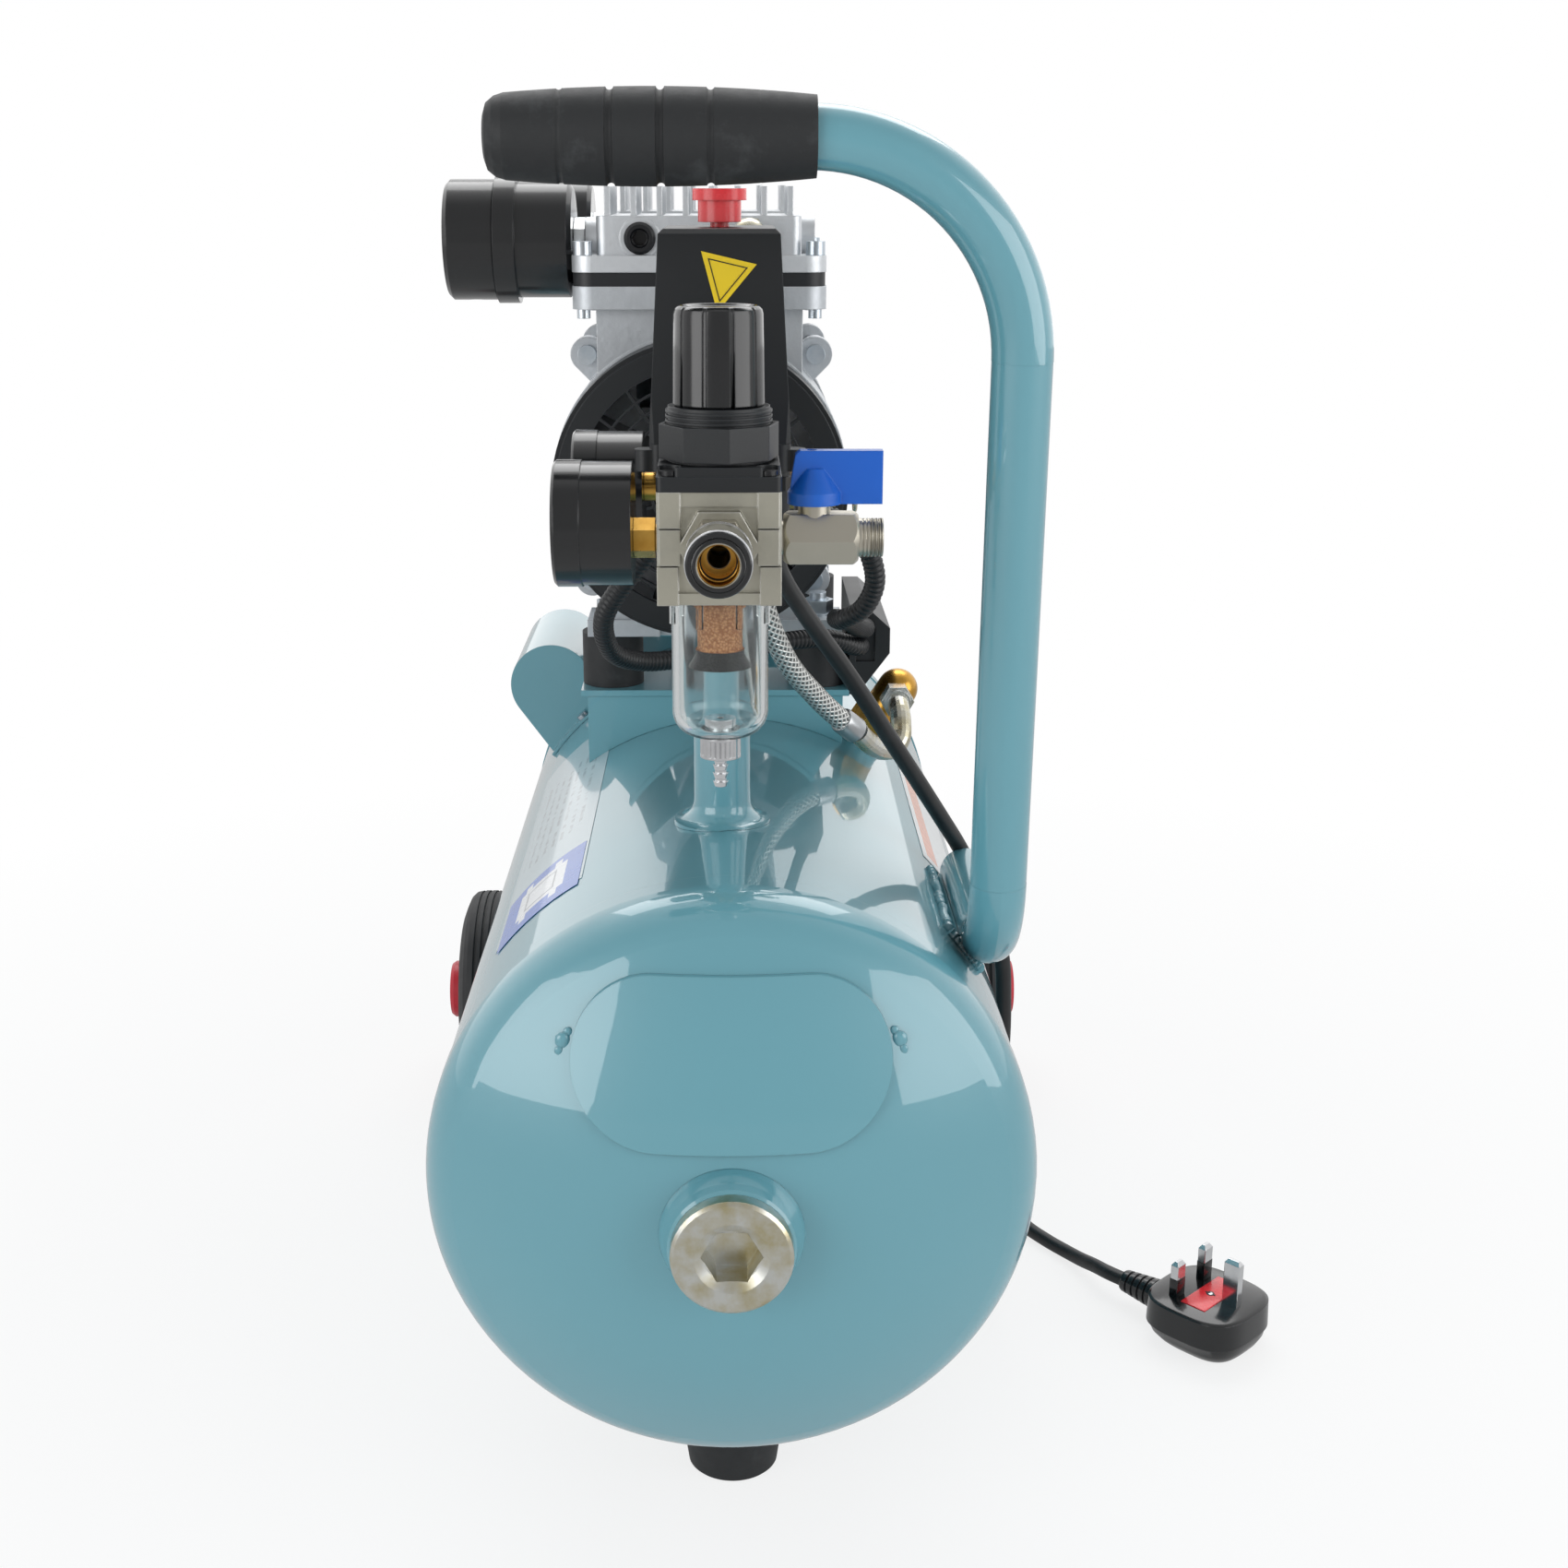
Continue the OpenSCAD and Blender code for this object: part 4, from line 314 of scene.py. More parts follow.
def plated_with_black(name, zinc, yellowed, shows_black):
    """Zinc plate, and black oxide where shows_black(x, y, z) is 1."""
    f = Finish(name, zinc, 0.28, 1.0)
    black = shows_black(f, *f.axes())
    f.feed("Base Color", f.blend(black, patches(f, zinc, yellowed), "141518"))
    f.feed("Metallic", 1 - black * 0.9)
    f.feed("Roughness", 0.24 + f.noise(220, 3) * 0.14)
    f.bump(f.noise(400, 2), 0.00002, 0.5, 0.0004)
    return f.material


def filter_black():
    """Gloss black cans on bright hexagons: the metal starts at the inner face of the can."""
    f = Finish("filter_black", "101113", 0.16, Coat_Weight=0.3, Coat_Roughness=0.08)
    metal = f.axes()[0].over(-0.0704)
    f.feed("Base Color", f.blend(metal, f.blend(f.rims(0.0005) * 0.3, "101113", "50555A"), "D5D8DA"))
    f.feed("Metallic", metal)
    f.feed("Roughness", 0.16 + f.noise(60, 3) * 0.12)
    f.bump(f.noise(150, 1), 0.00001, 0.4, 0.0006)
    return f.material


ZINC = plated("zinc_plate", "C9CCCC", "BDB69C")
PLUG_ZINC = plated_with_black("plug_zinc", "CFD0CB", "B9B08F", lambda f, x, y, z: z.over(0.4))
BOLT_ZINC = plated_with_black("bolt_zinc", "CDD3D8", "B4BFC8",
                              lambda f, x, y, z: (0 - y).over(0.2) * z.over(0.41))
STEEL = plated("ground_steel", "B5B8BA", "A5A8AA", 0.3)


def threaded_nickel():
    """Satin nickel whose threaded end, past 47.5 mm to the right, carries fine ridges, with painted shade in
    their valleys.
    """
    f = Finish("threaded_nickel", "BDB8AB", 0.3, 1.0)
    x = f.axes()[0]
    ridge = (x * (2 * math.pi / 0.00134)).wave() * x.over(0.0475)
    # The thread's valleys, where the bump sinks, are painted darker: this is painted shade in the grooves.
    f.feed("Base Color", f.blend(f.ramp(ridge, [(0.0, 0.0), (0.6, 1.0)]) * 0.5, "BDB8AB", "4A4842"))
    f.feed("Roughness", 0.26 + f.noise(220, 3) * 0.16)
    f.bump(f.noise(400, 2) * 0.05 - ridge, 0.0004, 0.8, 0.0004)
    return f.material


NICKEL = plated("satin_nickel", "BDB8AB", "ACA697", 0.3)
CHROME = plated("chrome", "D9DADC", "CBCCCE", 0.12)
BRASS = plated("brass", "D2A552", "B98A3C", 0.26)
print("made", len(bpy.data.materials), "finishes so far")

# %% [markdown]
# A finish earns its place on the smaller pieces too: blue and red plastic with a soft shine, the clear
# bowl, the sintered filter in it, and the tyre's rubber with brown dust low in its ribs.

# %% Coloured, clear and worn finishes
def shiny_plastic(name, color, light, roughness=0.22):
    f = Finish(name, color, roughness, Coat_Weight=0.2)
    flow = f.noise(35, 2)
    worn = f.ramp(flow + f.rims(0.0006) * 0.5, [(0.45, 0.0), (1.0, 1.0)])
    f.feed("Base Color", f.blend(worn, color, light))
    f.feed("Roughness", roughness + f.noise(180, 3) * 0.1)
    f.bump(f.noise(300, 2), 0.00002, 0.5, 0.0007)
    return f.material


def clear_plastic(name, roughness=0.04):
    f = Finish(name, "F4F8F8", roughness, Transmission_Weight=1.0, IOR=1.45)
    f.feed("Roughness", roughness + f.noise(90, 3) * 0.04)
    f.bump(f.noise(60, 2), 0.00002, 0.4, 0)
    return f.material


def sintered_bronze():
    f = Finish("sintered_bronze", "D69A63", 0.6, 0.25)
    grains = f.grains(1100)
    bronze = f.blend(f.ramp(grains, [(0.1, 0.0), (0.7, 1.0)]), "E2AC78", "A8693A")
    baffle = 1 - f.axes()[2].over(0.361)
    f.feed("Base Color", f.blend(baffle, bronze, "141516"))
    f.feed("Roughness", 0.5 + f.noise(300, 2) * 0.2 - baffle * 0.25)
    f.bump(1 - grains, 0.0003, 0.8, 0)
    return f.material


def tyre_rubber():
    f = Finish("tyre_rubber", "1B1C1E", 0.55)
    height = f.axes()[2]
    dust = f.ramp(f.noise(60, 4, 0.7) - height * 2.5, [(0.4, 0.0), (0.6, 1.0)])
    f.feed("Base Color", f.blend(dust * 0.25, "1B1C1E", "4A4640"))
    f.feed("Roughness", 0.5 + f.noise(120, 3) * 0.2)
    f.bump(f.noise(500, 2), 0.00006, 0.5, 0.0008)
    return f.material


def printed_dial():
    f = Finish("printed_dial", "EEEEEA", 0.5)
    f.feed("Base Color", f.blend(f.noise(80, 2) * 0.3, "F0F0EC", "E2E2DD"))
    f.feed("Roughness", 0.45 + f.noise(200, 2) * 0.15)
    return f.material


RED = shiny_plastic("red_plastic", "EE2A34", "FF6A6C")
HUB_RED = shiny_plastic("hub_red", "B8152B", "DC3A4A", 0.38)
BLUE = shiny_plastic("blue_plastic", "005AC0", "1872DC", 0.3)
CLEAR = clear_plastic("clear_bowl")
LENS = clear_plastic("clear_lens", 0.02)
SINTERED = sintered_bronze()
TYRE = tyre_rubber()
DIAL = printed_dial()
CAP_CASE = shiny_plastic("capacitor_case", "D6D6D2", "F0F0EE", 0.4)
COPPER = plated("enamelled_copper", "9A5A2C", "7E431C", 0.4, 0.6)
DARK_STEEL = grained_black("painted_steel", "2A2C2F", 0.4, 300)
print("finishes now:", len(bpy.data.materials))

# %% [markdown]
# The solids whose shape is right stay as they are and only change their material. Each node of the frame
# gets one finish here, and the pieces that need more are remade further down.

# %% Dress the solids
DRESS = {
    TEAL: "tank_shell tank_heads tank_fittings handle_tube saddles capacitor_cover post_tube",
    ZINC: "hose_fittings regulator_screw safety_pull",
    PLUG_ZINC: "socket_plugs",
    BOLT_ZINC: "fasteners",
    RUBBER: "front_foot handle_grip rubber_mounts",
    CAP_CASE: "capacitor",
    DARK_STEEL: "motor_shell fans",
    COPPER: "stator",
    CASE_CAST: "crankcases",
    HEAD_CAST: "cylinder_heads",
    STEEL: "cylinders_and_pistons rotor_shaft",
    BLACK: "valve_plates fan_covers switch_base switch_cover terminal_box regulator_bonnet conduits",
    filter_black(): "intake_filters",
    GLOSS: "gauge_cases regulator_knob plug_body",
    BRASS: "manifold check_valve drain_screw",
    DIAL: "gauge_dials",
    LENS: "gauge_lenses",
    BODY_CAST: "regulator_body",
    CLEAR: "filter_bowl",
    SINTERED: "filter_element",
    threaded_nickel(): "ball_valve_body",
    NICKEL: "coupler_body valve_ball",
    CHROME: "coupler_sleeve bowl_drain plug_pins",
    TYRE: "tyre_left tyre_right",
    HUB_RED: "hub_left hub_right",
    RED: "switch_knob needle_front needle_rear",
    BLUE: "valve_lever",
}


def dress(node, material):
    """Gives a CAD node's object one material."""
    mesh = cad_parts[node].data
    mesh.materials.clear()
    mesh.materials.append(material)


for material, names in DRESS.items():
    for node in names.split():
        dress(node, material)
print("dressed", sum(len(names.split()) for names in DRESS.values()), "nodes of", len(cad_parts))

# %% [markdown]
# The power cord is 7 mm rubber cable, 1.8 m long. It leaves the gland under the pressure switch, runs down
# behind the tank's right side, lies in a neat coil under the tank and comes out to its plug. One curve
# follows the whole route. The coil is two rows of two turns, wound by a loop.

# %% Power cord
CORD_D = 7 * MM
CORD_DOWN = [
    (17, -172, 386), (17.6, -171.8, 379), (20.5, -170.6, 371), (26, -168.5, 361.5), (33.5, -165.5, 350),
    (43, -160.5, 336), (52.5, -155, 321), (63, -148, 303.5), (71, -140, 290), (80, -130, 274.5),
    (89, -118, 258.5), (98.5, -104, 241), (106, -99, 226), (113, -96, 210), (119, -93, 190),
    (121.5, -90, 164), (122, -86, 130), (122, -81, 96), (123, -75, 62), (123, -66, 32), (121, -54, 13),
    (116, -42, 5), (104, -30, 3.9), (88, -25, 3.6), (72, -20, 3.6), (60, -8, 3.6), (55, 6, 3.6),
    (54.5, 16.5, 3.6),
]
CORD_OUT = [
    (54.5, 67.5, 9), (56, 76, 6.5), (64, 86, 4), (80, 92, 3.6), (98, 89, 3.6), (115, 78, 3.6),
    (129, 59, 3.6), (140, 32, 3.6), (149, 0, 3.6), (158, -16, 3.6), (166, -28, 4), (172, -40, 6),
    (176.5, -51, 9), (181.4, -61.3, 11), (187.64, -67.74, 11),
]
COIL_X, COIL_Y = 12, 42
COIL_ROWS = [(42.6, 3.6), (35.4, 3.6), (35.4, 10.6), (42.6, 10.6)]
POINTS_A_TURN = 16


def coil_points():
    """Four turns, outside to inside below and inside to outside above."""
    made = []
    for turn, (radius, height) in enumerate(COIL_ROWS):
        after = COIL_ROWS[min(turn + 1, len(COIL_ROWS) - 1)]
        for step in range(POINTS_A_TURN):
            angle = 2 * math.pi * step / POINTS_A_TURN
            late = max(0, (step - POINTS_A_TURN + 4) / 4)
            r = radius + (after[0] - radius) * late
            z = height + (after[1] - height) * late
            made.append((COIL_X + r * math.cos(angle), COIL_Y + r * math.sin(angle), z))
    made.append((COIL_X + COIL_ROWS[-1][0], COIL_Y, COIL_ROWS[-1][1]))
    return made


def curve_through(name, points, diameter, sides=4):
    """A round curve through points given in millimetres."""
    data = bpy.data.curves.new(name, "CURVE")
    data.dimensions = "3D"
    data.bevel_depth = diameter / 2
    data.bevel_resolution = sides
    data.use_fill_caps = True
    spline = data.splines.new("BEZIER")
    spline.bezier_points.add(len(points) - 1)
    spline.resolution_u = 6
    for knot, point in zip(spline.bezier_points, points):
        knot.co = Vector(point) * MM
        knot.handle_left_type = knot.handle_right_type = "AUTO"
    return bpy.data.objects.new(name, data)


def cable_rubber():
    f = Finish("cable_rubber", "151618", 0.45)
    f.feed("Base Color", f.blend(f.ramp(f.noise(90, 4), [(0.5, 0.0), (0.8, 1.0)]) * 0.3, "151618", "3A3C3E"))
    f.feed("Roughness", 0.38 + f.noise(160, 3) * 0.16)
    f.bump(f.noise(600, 2), 0.00003, 0.5, 0)
    return f.material


power_cord = curve_through("power_cord", CORD_DOWN + coil_points() + CORD_OUT, CORD_D)
power_cord.data.materials.append(cable_rubber())
bpy.context.scene.collection.objects.link(power_cord)
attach(power_cord, "root")
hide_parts("cord_upper", "cord_coil", "cord_lower")
print("cord points:", len(CORD_DOWN) + len(coil_points()) + len(CORD_OUT))

# %% [markdown]
# New pieces share a few steps. A bmesh in millimetres is scaled, becomes a mesh whose sharp edges are
# marked by angle, and its object rides on a body of the frame. Round pieces are an outline spun about an
# axis, and tubes are a circle that is extruded from place to place along a smooth route.

# %% Helpers for new pieces
def piece(name, bm, material, body="root", sharp=35, replaces=(), levels=0):
    """Makes a finished object from a bmesh in millimetres and hangs it on a body."""
    bmesh.ops.scale(bm, vec=(MM, MM, MM), verts=bm.verts)
    mesh = bpy.data.meshes.new(name)
    bm.to_mesh(mesh)
    bm.free()
    mesh.materials.append(material)
    mesh.shade_smooth()
    mesh.set_sharp_from_angle(angle=math.radians(sharp))
    made = bpy.data.objects.new(name, mesh)
    bpy.context.scene.collection.objects.link(made)
    if levels:
        rounder = made.modifiers.new("rounder", "SUBSURF")
        rounder.levels = rounder.render_levels = levels
    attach(made, body)
    if replaces:
        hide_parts(*replaces)
    return made


def turned(outline, steps=48, closed=True):
    """A round solid about Z, spun from an outline of (radius, height)."""
    bm = bmesh.new()
    spots = [bm.verts.new((r, 0, z)) for r, z in outline]
    lines = [bm.edges.new(pair) for pair in zip(spots, spots[1:])]
    if closed:
        lines.append(bm.edges.new((spots[-1], spots[0])))
    bmesh.ops.spin(bm, geom=spots + lines, cent=(0, 0, 0), axis=(0, 0, 1), angle=2 * math.pi,
                   steps=steps, use_merge=True)
    bmesh.ops.remove_doubles(bm, verts=bm.verts, dist=0.0005)
    bmesh.ops.recalc_face_normals(bm, faces=bm.faces)
    return bm


def moved(bm, place, turn=(0, 0, 0), size=(1, 1, 1)):
    """Scales, turns (in degrees) and moves a whole bmesh."""
    spin = Matrix.Rotation(math.radians(turn[2]), 4, "Z") @ Matrix.Rotation(math.radians(turn[1]), 4, "Y") \
        @ Matrix.Rotation(math.radians(turn[0]), 4, "X")
    bmesh.ops.transform(bm, matrix=Matrix.Translation(place) @ spin @ Matrix.Diagonal((*size, 1)),
                        verts=bm.verts)
    return bm


def added(bm, other):
    """Puts a second bmesh into the first."""
    carrier = bpy.data.meshes.new("carrier")
    other.to_mesh(carrier)
    other.free()
    bm.from_mesh(carrier)
    bpy.data.meshes.remove(carrier)
    return bm


def block(width, length, height, place=(0, 0, 0), edge=0.0, segments=2):
    """A box with softened edges, its middle at place."""
    bm = bmesh.new()
    bmesh.ops.create_cube(bm, size=1)
    bmesh.ops.scale(bm, vec=(width, length, height), verts=bm.verts)
    if edge:
        bmesh.ops.bevel(bm, geom=bm.edges[:], offset=edge, affect="EDGES", segments=segments, profile=0.5,
                        material=-1)
    return moved(bm, place)


def plate(outline, thickness, edge=0.0):
    """A flat plate from an outline in X and Z, its face towards -Y at Y = 0."""
    bm = bmesh.new()
    face = bm.faces.new([bm.verts.new((x, 0, z)) for x, z in outline])
    grown = bmesh.ops.extrude_face_region(bm, geom=[face])["geom"]
    bmesh.ops.translate(bm, vec=(0, thickness, 0),
                        verts=[g for g in grown if isinstance(g, bmesh.types.BMVert)])
    bmesh.ops.recalc_face_normals(bm, faces=bm.faces)
    if edge:
        bmesh.ops.bevel(bm, geom=bm.edges[:], offset=edge, affect="EDGES", segments=2, profile=0.5,
                        material=-1)
    return bm


def smooth_route(points, step):
    """Evenly spaced places on the smooth curve through the points."""
    p = [Vector(q) for q in points]
    p = [2 * p[0] - p[1]] + p + [2 * p[-1] - p[-2]]
    fine = []
    for a, b, c, d in zip(p, p[1:], p[2:], p[3:]):
        fine += interpolate_bezier(b, b + (c - a) / 6, c - (d - b) / 6, c, 24)[:-1]
    fine.append(p[-2])
    made, gone = [fine[0]], 0.0
    for here, there in zip(fine, fine[1:]):
        length = (there - here).length
        while length and gone + length >= step:
            here = here.lerp(there, (step - gone) / length)
            made.append(here)
            length, gone = (there - here).length, 0.0
        gone += length
    return made


def swept(stations, radii, sides=12):
    """A tube: a circle extruded from station to station, turned with the route and scaled."""
    bm = bmesh.new()
    lay = bm.verts.layers.float_vector.new("lay")
    ring = bmesh.ops.create_circle(bm, cap_ends=False, radius=1, segments=sides)["verts"]
    for vert in ring:
        vert[lay] = (vert.co.x, vert.co.y, 0)
    ahead = [(b - a).normalized() for a, b in zip(stations, stations[1:])]
    ahead.append(ahead[-1])
    turn = Vector((0, 0, 1)).rotation_difference(ahead[0])
    pose = Matrix.LocRotScale(stations[0], turn, Vector((radii[0],) * 3))
    bmesh.ops.transform(bm, matrix=pose, verts=ring)
    rim = first = bm.edges[:]
    gone = 0.0
    for i in range(1, len(stations)):
        grown = bmesh.ops.extrude_edge_only(bm, edges=rim)["geom"]
        fresh = {g for g in grown if isinstance(g, bmesh.types.BMVert)}
        rim = [g for g in grown if isinstance(g, bmesh.types.BMEdge) and all(v in fresh for v in g.verts)]
        turn = ahead[i - 1].rotation_difference(ahead[i]) @ turn
        after = Matrix.LocRotScale(stations[i], turn, Vector((radii[i],) * 3))
        bmesh.ops.transform(bm, matrix=after @ pose.inverted(), verts=list(fresh))
        gone += (stations[i] - stations[i - 1]).length * MM
        for vert in fresh:
            vert[lay] = (vert[lay].x, vert[lay].y, gone)
        pose = after
    bmesh.ops.holes_fill(bm, edges=first + rim, sides=0)
    bmesh.ops.recalc_face_normals(bm, faces=bm.faces)
    return bm


def next_ring(bm, edges):
    """Extrude a closed ring of edges, and give back the new corners and the new ring of edges."""
    grown = bmesh.ops.extrude_edge_only(bm, edges=edges)["geom"]
    ring = [g for g in grown if isinstance(g, bmesh.types.BMVert)]
    return ring, [g for g in grown if isinstance(g, bmesh.types.BMEdge) and all(v in ring for v in g.verts)]


print("helpers ready")

# %% [markdown]
# The plug lies with its pins up. Its face is a rounded square, and its sides narrow below, where fingers
# grip it, so a ring of corners is extruded down level by level and scaled at each level. The fuse cover is a
# red plate with a small screw, two pins wear black sleeves, and the cable leaves through a ribbed sleeve.

# %% Plug
PLUG_AT, PLUG_TURN, PLUG_TOP = (213, -94, 0), (0, 0, -46), 23
PLUG_MID, FACE_HALF = 10, 22.6
PIN_OUT, PIN_SUNK, FUSE_SCREW_X = 11.1, 3, 11
RIBS, RIB_PITCH, RIB_SHRINK, SLEEVE_R = 5, 3.7, 0.42, 7.4


def on_plug(bm):
    return moved(bm, PLUG_AT, PLUG_TURN)


def rounded_square(angle, power=0.62):
    c, s = math.cos(angle), math.sin(angle)
    return (math.copysign(abs(c) ** power, c), math.copysign(abs(s) ** power, s))


def plug_skin():
    bm = bmesh.new()
    ring = bmesh.ops.create_circle(bm, cap_ends=False, radius=1, segments=72)["verts"]
    for vert in ring:
        vert.co = (*rounded_square(math.atan2(vert.co.y, vert.co.x)), 0)
    edges = first = bm.edges[:]
    place = Matrix.Translation((PLUG_MID, 0, PLUG_TOP)) @ Matrix.Diagonal((FACE_HALF, FACE_HALF, 1, 1))
    bmesh.ops.transform(bm, matrix=place, verts=ring)
    # each level: its height, half its width, and how far it slides towards the earth pin
    levels = [(PLUG_TOP - 0.5, 23.4, 0), (PLUG_TOP - 1.1, 24.1, 0), (9.6, 24.5, 0), (9.0, 23.7, 0),
              (5.5, 22.6, 0.6), (2.4, 20.2, 1.4), (0.7, 18.2, 1.8), (0.05, 16.8, 1.8)]
    size, shift, height = FACE_HALF, 0, PLUG_TOP
    for z, half, slide in levels:
        ring, edges = next_ring(bm, edges)
        back = Matrix.Translation((-PLUG_MID - shift, 0, -height))
        size_now = Matrix.Diagonal((half / size, half / size, 1, 1))
        place = Matrix.Translation((PLUG_MID + slide, 0, z))
        bmesh.ops.transform(bm, matrix=place @ size_now @ back, verts=ring)
        size, shift, height = half, slide, z
    bmesh.ops.contextual_create(bm, geom=first)
    bmesh.ops.contextual_create(bm, geom=edges)
    bmesh.ops.recalc_face_normals(bm, faces=bm.faces)
    return bm


def relief_sleeve():
    """The cable's tapered sleeve, with a cut after every rib, from the plug outwards."""
    outline = [(0, 1.5), (SLEEVE_R, 1.5), (SLEEVE_R, -4)]
    for rib in range(RIBS):
        start = -4 - rib * RIB_PITCH
        r = SLEEVE_R - RIB_SHRINK * rib
        outline += [(r - 1.1, start - 0.3), (r - 1.1, start - 1.2),
                    (r - 0.15, start - 1.5), (r - 0.35, start - 3.6)]
    outline += [(5.3, -22.8), (4.9, -23.6), (3.6, -23.7), (0, -23.7)]
    return moved(turned(outline, 40, closed=False), (-12.5, 0, 11), (0, 90, 0))


def pin(width, thick, length, x, y, tip=1.6):
    """A flat pin with a chamfered tip: the corners just below the tip move down, and the tip shrinks."""
    low, high = PLUG_TOP - PIN_SUNK, PLUG_TOP + length
    bm = block(width, thick, high - low, edge=0.25, segments=1)
    bmesh.ops.translate(bm, vec=(0, 0, (high + low) / 2), verts=bm.verts)
    top = [v for v in bm.verts if v.co.z > high - 0.1]
    below = [v for v in bm.verts if v.co.z > high - 0.4 and v not in top]
    bmesh.ops.translate(bm, vec=(0, 0, -tip), verts=below)
    bmesh.ops.scale(bm, vec=(1 - 1.5 * tip / width, 1 - 1.5 * tip / thick, 1), verts=top)
    return moved(bm, (x, y, 0))


body = added(plug_skin(), relief_sleeve())
plug_shell = piece("plug_shell", on_plug(body), GLOSS, sharp=40, replaces=("plug_body",))
metal, sleeves = bmesh.new(), bmesh.new()
for y in (-PIN_OUT, PIN_OUT):
    added(metal, pin(4, 6.3, 17.6, 0, y))
    added(sleeves, block(4.3, 6.6, 9.4, (0, y, PLUG_TOP + 4.6), 0.3))
added(metal, pin(8, 4, 22.6, 2 * PIN_OUT, 0))
pins = piece("pins_metal", on_plug(metal), CHROME, sharp=25, replaces=("plug_pins",))
pin_sleeves = piece("pin_sleeves", on_plug(sleeves), GLOSS)
cover = block(12.8, 31, 0.9, (11.2, 0.6, PLUG_TOP + 0.05), 0.2)
added(cover, block(1.4, 3.4, 0.5, (15.6, 11.4, PLUG_TOP + 0.6), 0.15))
fuse_cover = piece("fuse_cover", on_plug(cover), RED)
disc = turned([(0, 0), (1.9, 0), (1.9, 0.1), (0, 0.1)], 24, closed=False)
well = added(moved(disc, (FUSE_SCREW_X, 0, PLUG_TOP + 0.48)),
             block(5.2, 0.9, 0.1, (FUSE_SCREW_X, 0, PLUG_TOP + 0.54), 0.02))
screw_well = piece("fuse_screw_well", on_plug(well), BLACK)
screw_head = moved(turned([(0, 0), (1.15, 0), (1.15, 0.16), (0.9, 0.3), (0, 0.3)], 24, closed=False),
                   (FUSE_SCREW_X, 0, PLUG_TOP + 0.5))
fuse_screw = piece("fuse_screw", on_plug(screw_head), CHROME)
print("plug pieces:", [o.name for o in (plug_shell, pins, pin_sleeves, fuse_cover, screw_well, fuse_screw)])

# %% [markdown]
# The two corrugated conduits carry the motor's wires from the switch to the terminal box. Their ribs are
# real shape: four rings to each rib, two at the crest and two in the valley, all along the route.

# %% Corrugated conduits
RIB = 2.3


def ribbed(points, crest=4.35, valley=3.75):
    shape = [(0.0, crest), (0.42, crest), (0.56, valley), (0.86, valley)]
    fine = smooth_route(points, RIB / 20)
    stations, radii = [], []
    for rib in range(len(fine) // 20):
        for part, radius in shape:
            stations.append(fine[rib * 20 + round(part * 20)])
            radii.append(radius)
    return swept(stations, radii, 14)


CONDUITS = [
    [(-24, -132, 403), (-24, -132, 392), (-30, -128, 378), (-42, -122, 362), (-52, -112, 344),
     (-50, -94, 326), (-38, -74, 317), (-18, -58, 315), (4, -46, 316), (26, -34, 317), (44, -20, 315),
     (58.1, -6, 308), (61.6, 5.9, 306)],
    [(18, -126, 403), (18, -126, 394), (28, -118, 388), (44, -110, 384), (55, -106, 374),
     (60, -101, 358), (56, -95, 345), (48, -86, 338), (46, -66, 334), (52, -42, 328), (58.1, -18, 320),
     (62.6, -4, 316), (63.1, 5.9, 315.5)],
]
conduit_mesh = added(ribbed(CONDUITS[0]), ribbed(CONDUITS[1]))
conduits = piece("corrugated_conduits", conduit_mesh, BLACK, sharp=80,
                 replaces=("conduits",))
print("conduit faces:", len(conduits.data.polygons))

# %% [markdown]
# The pressure hose is a rubber tube in a sleeve of woven steel wire. The weave is two families of strands
# that wind round the tube in opposite turns. Its pattern follows the hose, so it reads an attribute that
# the sweep wrote at each ring: the two sides of the angle round the tube, and the length along it.

# %% Woven hose
def woven_steel():
    f = Finish("woven_steel", "A9ABAC", 0.34, 0.9)
    lay = f.tree.nodes.new("ShaderNodeAttribute")
    lay.attribute_name = "lay"
    parts = f.tree.nodes.new("ShaderNodeSeparateXYZ")
    f.tree.links.new(lay.outputs["Vector"], parts.inputs[0])
    across, up, along = [Wire(f, parts.outputs[i]) for i in range(3)]
    angle = f.node("ShaderNodeMath", {"operation": "ARCTAN2"}, {0: up, 1: across})
    one = (angle * 10 + along * 1900).wave()
    two = (angle * 10 - along * 1900).wave()
    over = f.node("ShaderNodeMath", {"operation": "MAXIMUM"}, {0: one, 1: two})
    wires = (angle * 40 + along * 7500).wave()
    height = f.ramp(over * 0.5 + 0.5, [(0.35, 0.0), (0.95, 1.0)])
    f.feed("Base Color", f.blend(height, "6A6C6C", "E6E7E4"))
    f.feed("Roughness", 0.5 - height * 0.2)
    f.bump(height + wires * 0.06, 0.0005, 0.9, 0)
    return f.material


HOSE = [(8.5, -18, 478), (8.5, -18, 469.5), (9, -33, 464), (9.5, -41, 450), (10.5, -50, 434),
        (11.5, -64, 400), (11.5, -72, 366), (14.5, -71, 340), (24.5, -60, 314), (37.5, -46, 295),
        (49.5, -35, 281),
        (58.9, -26, 271.8)]
hose_route = smooth_route(HOSE, 2.5)
hose = piece("woven_hose", swept(hose_route, [4.95] * len(hose_route), 20), woven_steel(),
             sharp=80, replaces=("braided_hose",))
ferrules = bmesh.new()
for near_end, far_end in ((hose_route[0], hose_route[5]), (hose_route[-1], hose_route[-6])):
    crimp = [near_end.lerp(far_end, t) for t in (0.0, 0.04, 0.9, 1.0)]
    added(ferrules, swept(crimp, [5.6, 6.1, 6.1, 5.5], 24))
piece("hose_ferrules", ferrules, STEEL)
print("hose length in mm:", round(2.5 * len(hose_route)))

# %% [markdown]
# Two films are stuck on the tank's sides. A film is a strip spun about the tank's own axis a fifth of a
# millimetre above the paint, so it follows the curve exactly, and its print is a shader that reads the
# height and the length. The prints are plain shapes: bands, a frame, and rows of marks that hold no
# letters.

# %% Films on the tank
TANK_Z = 156


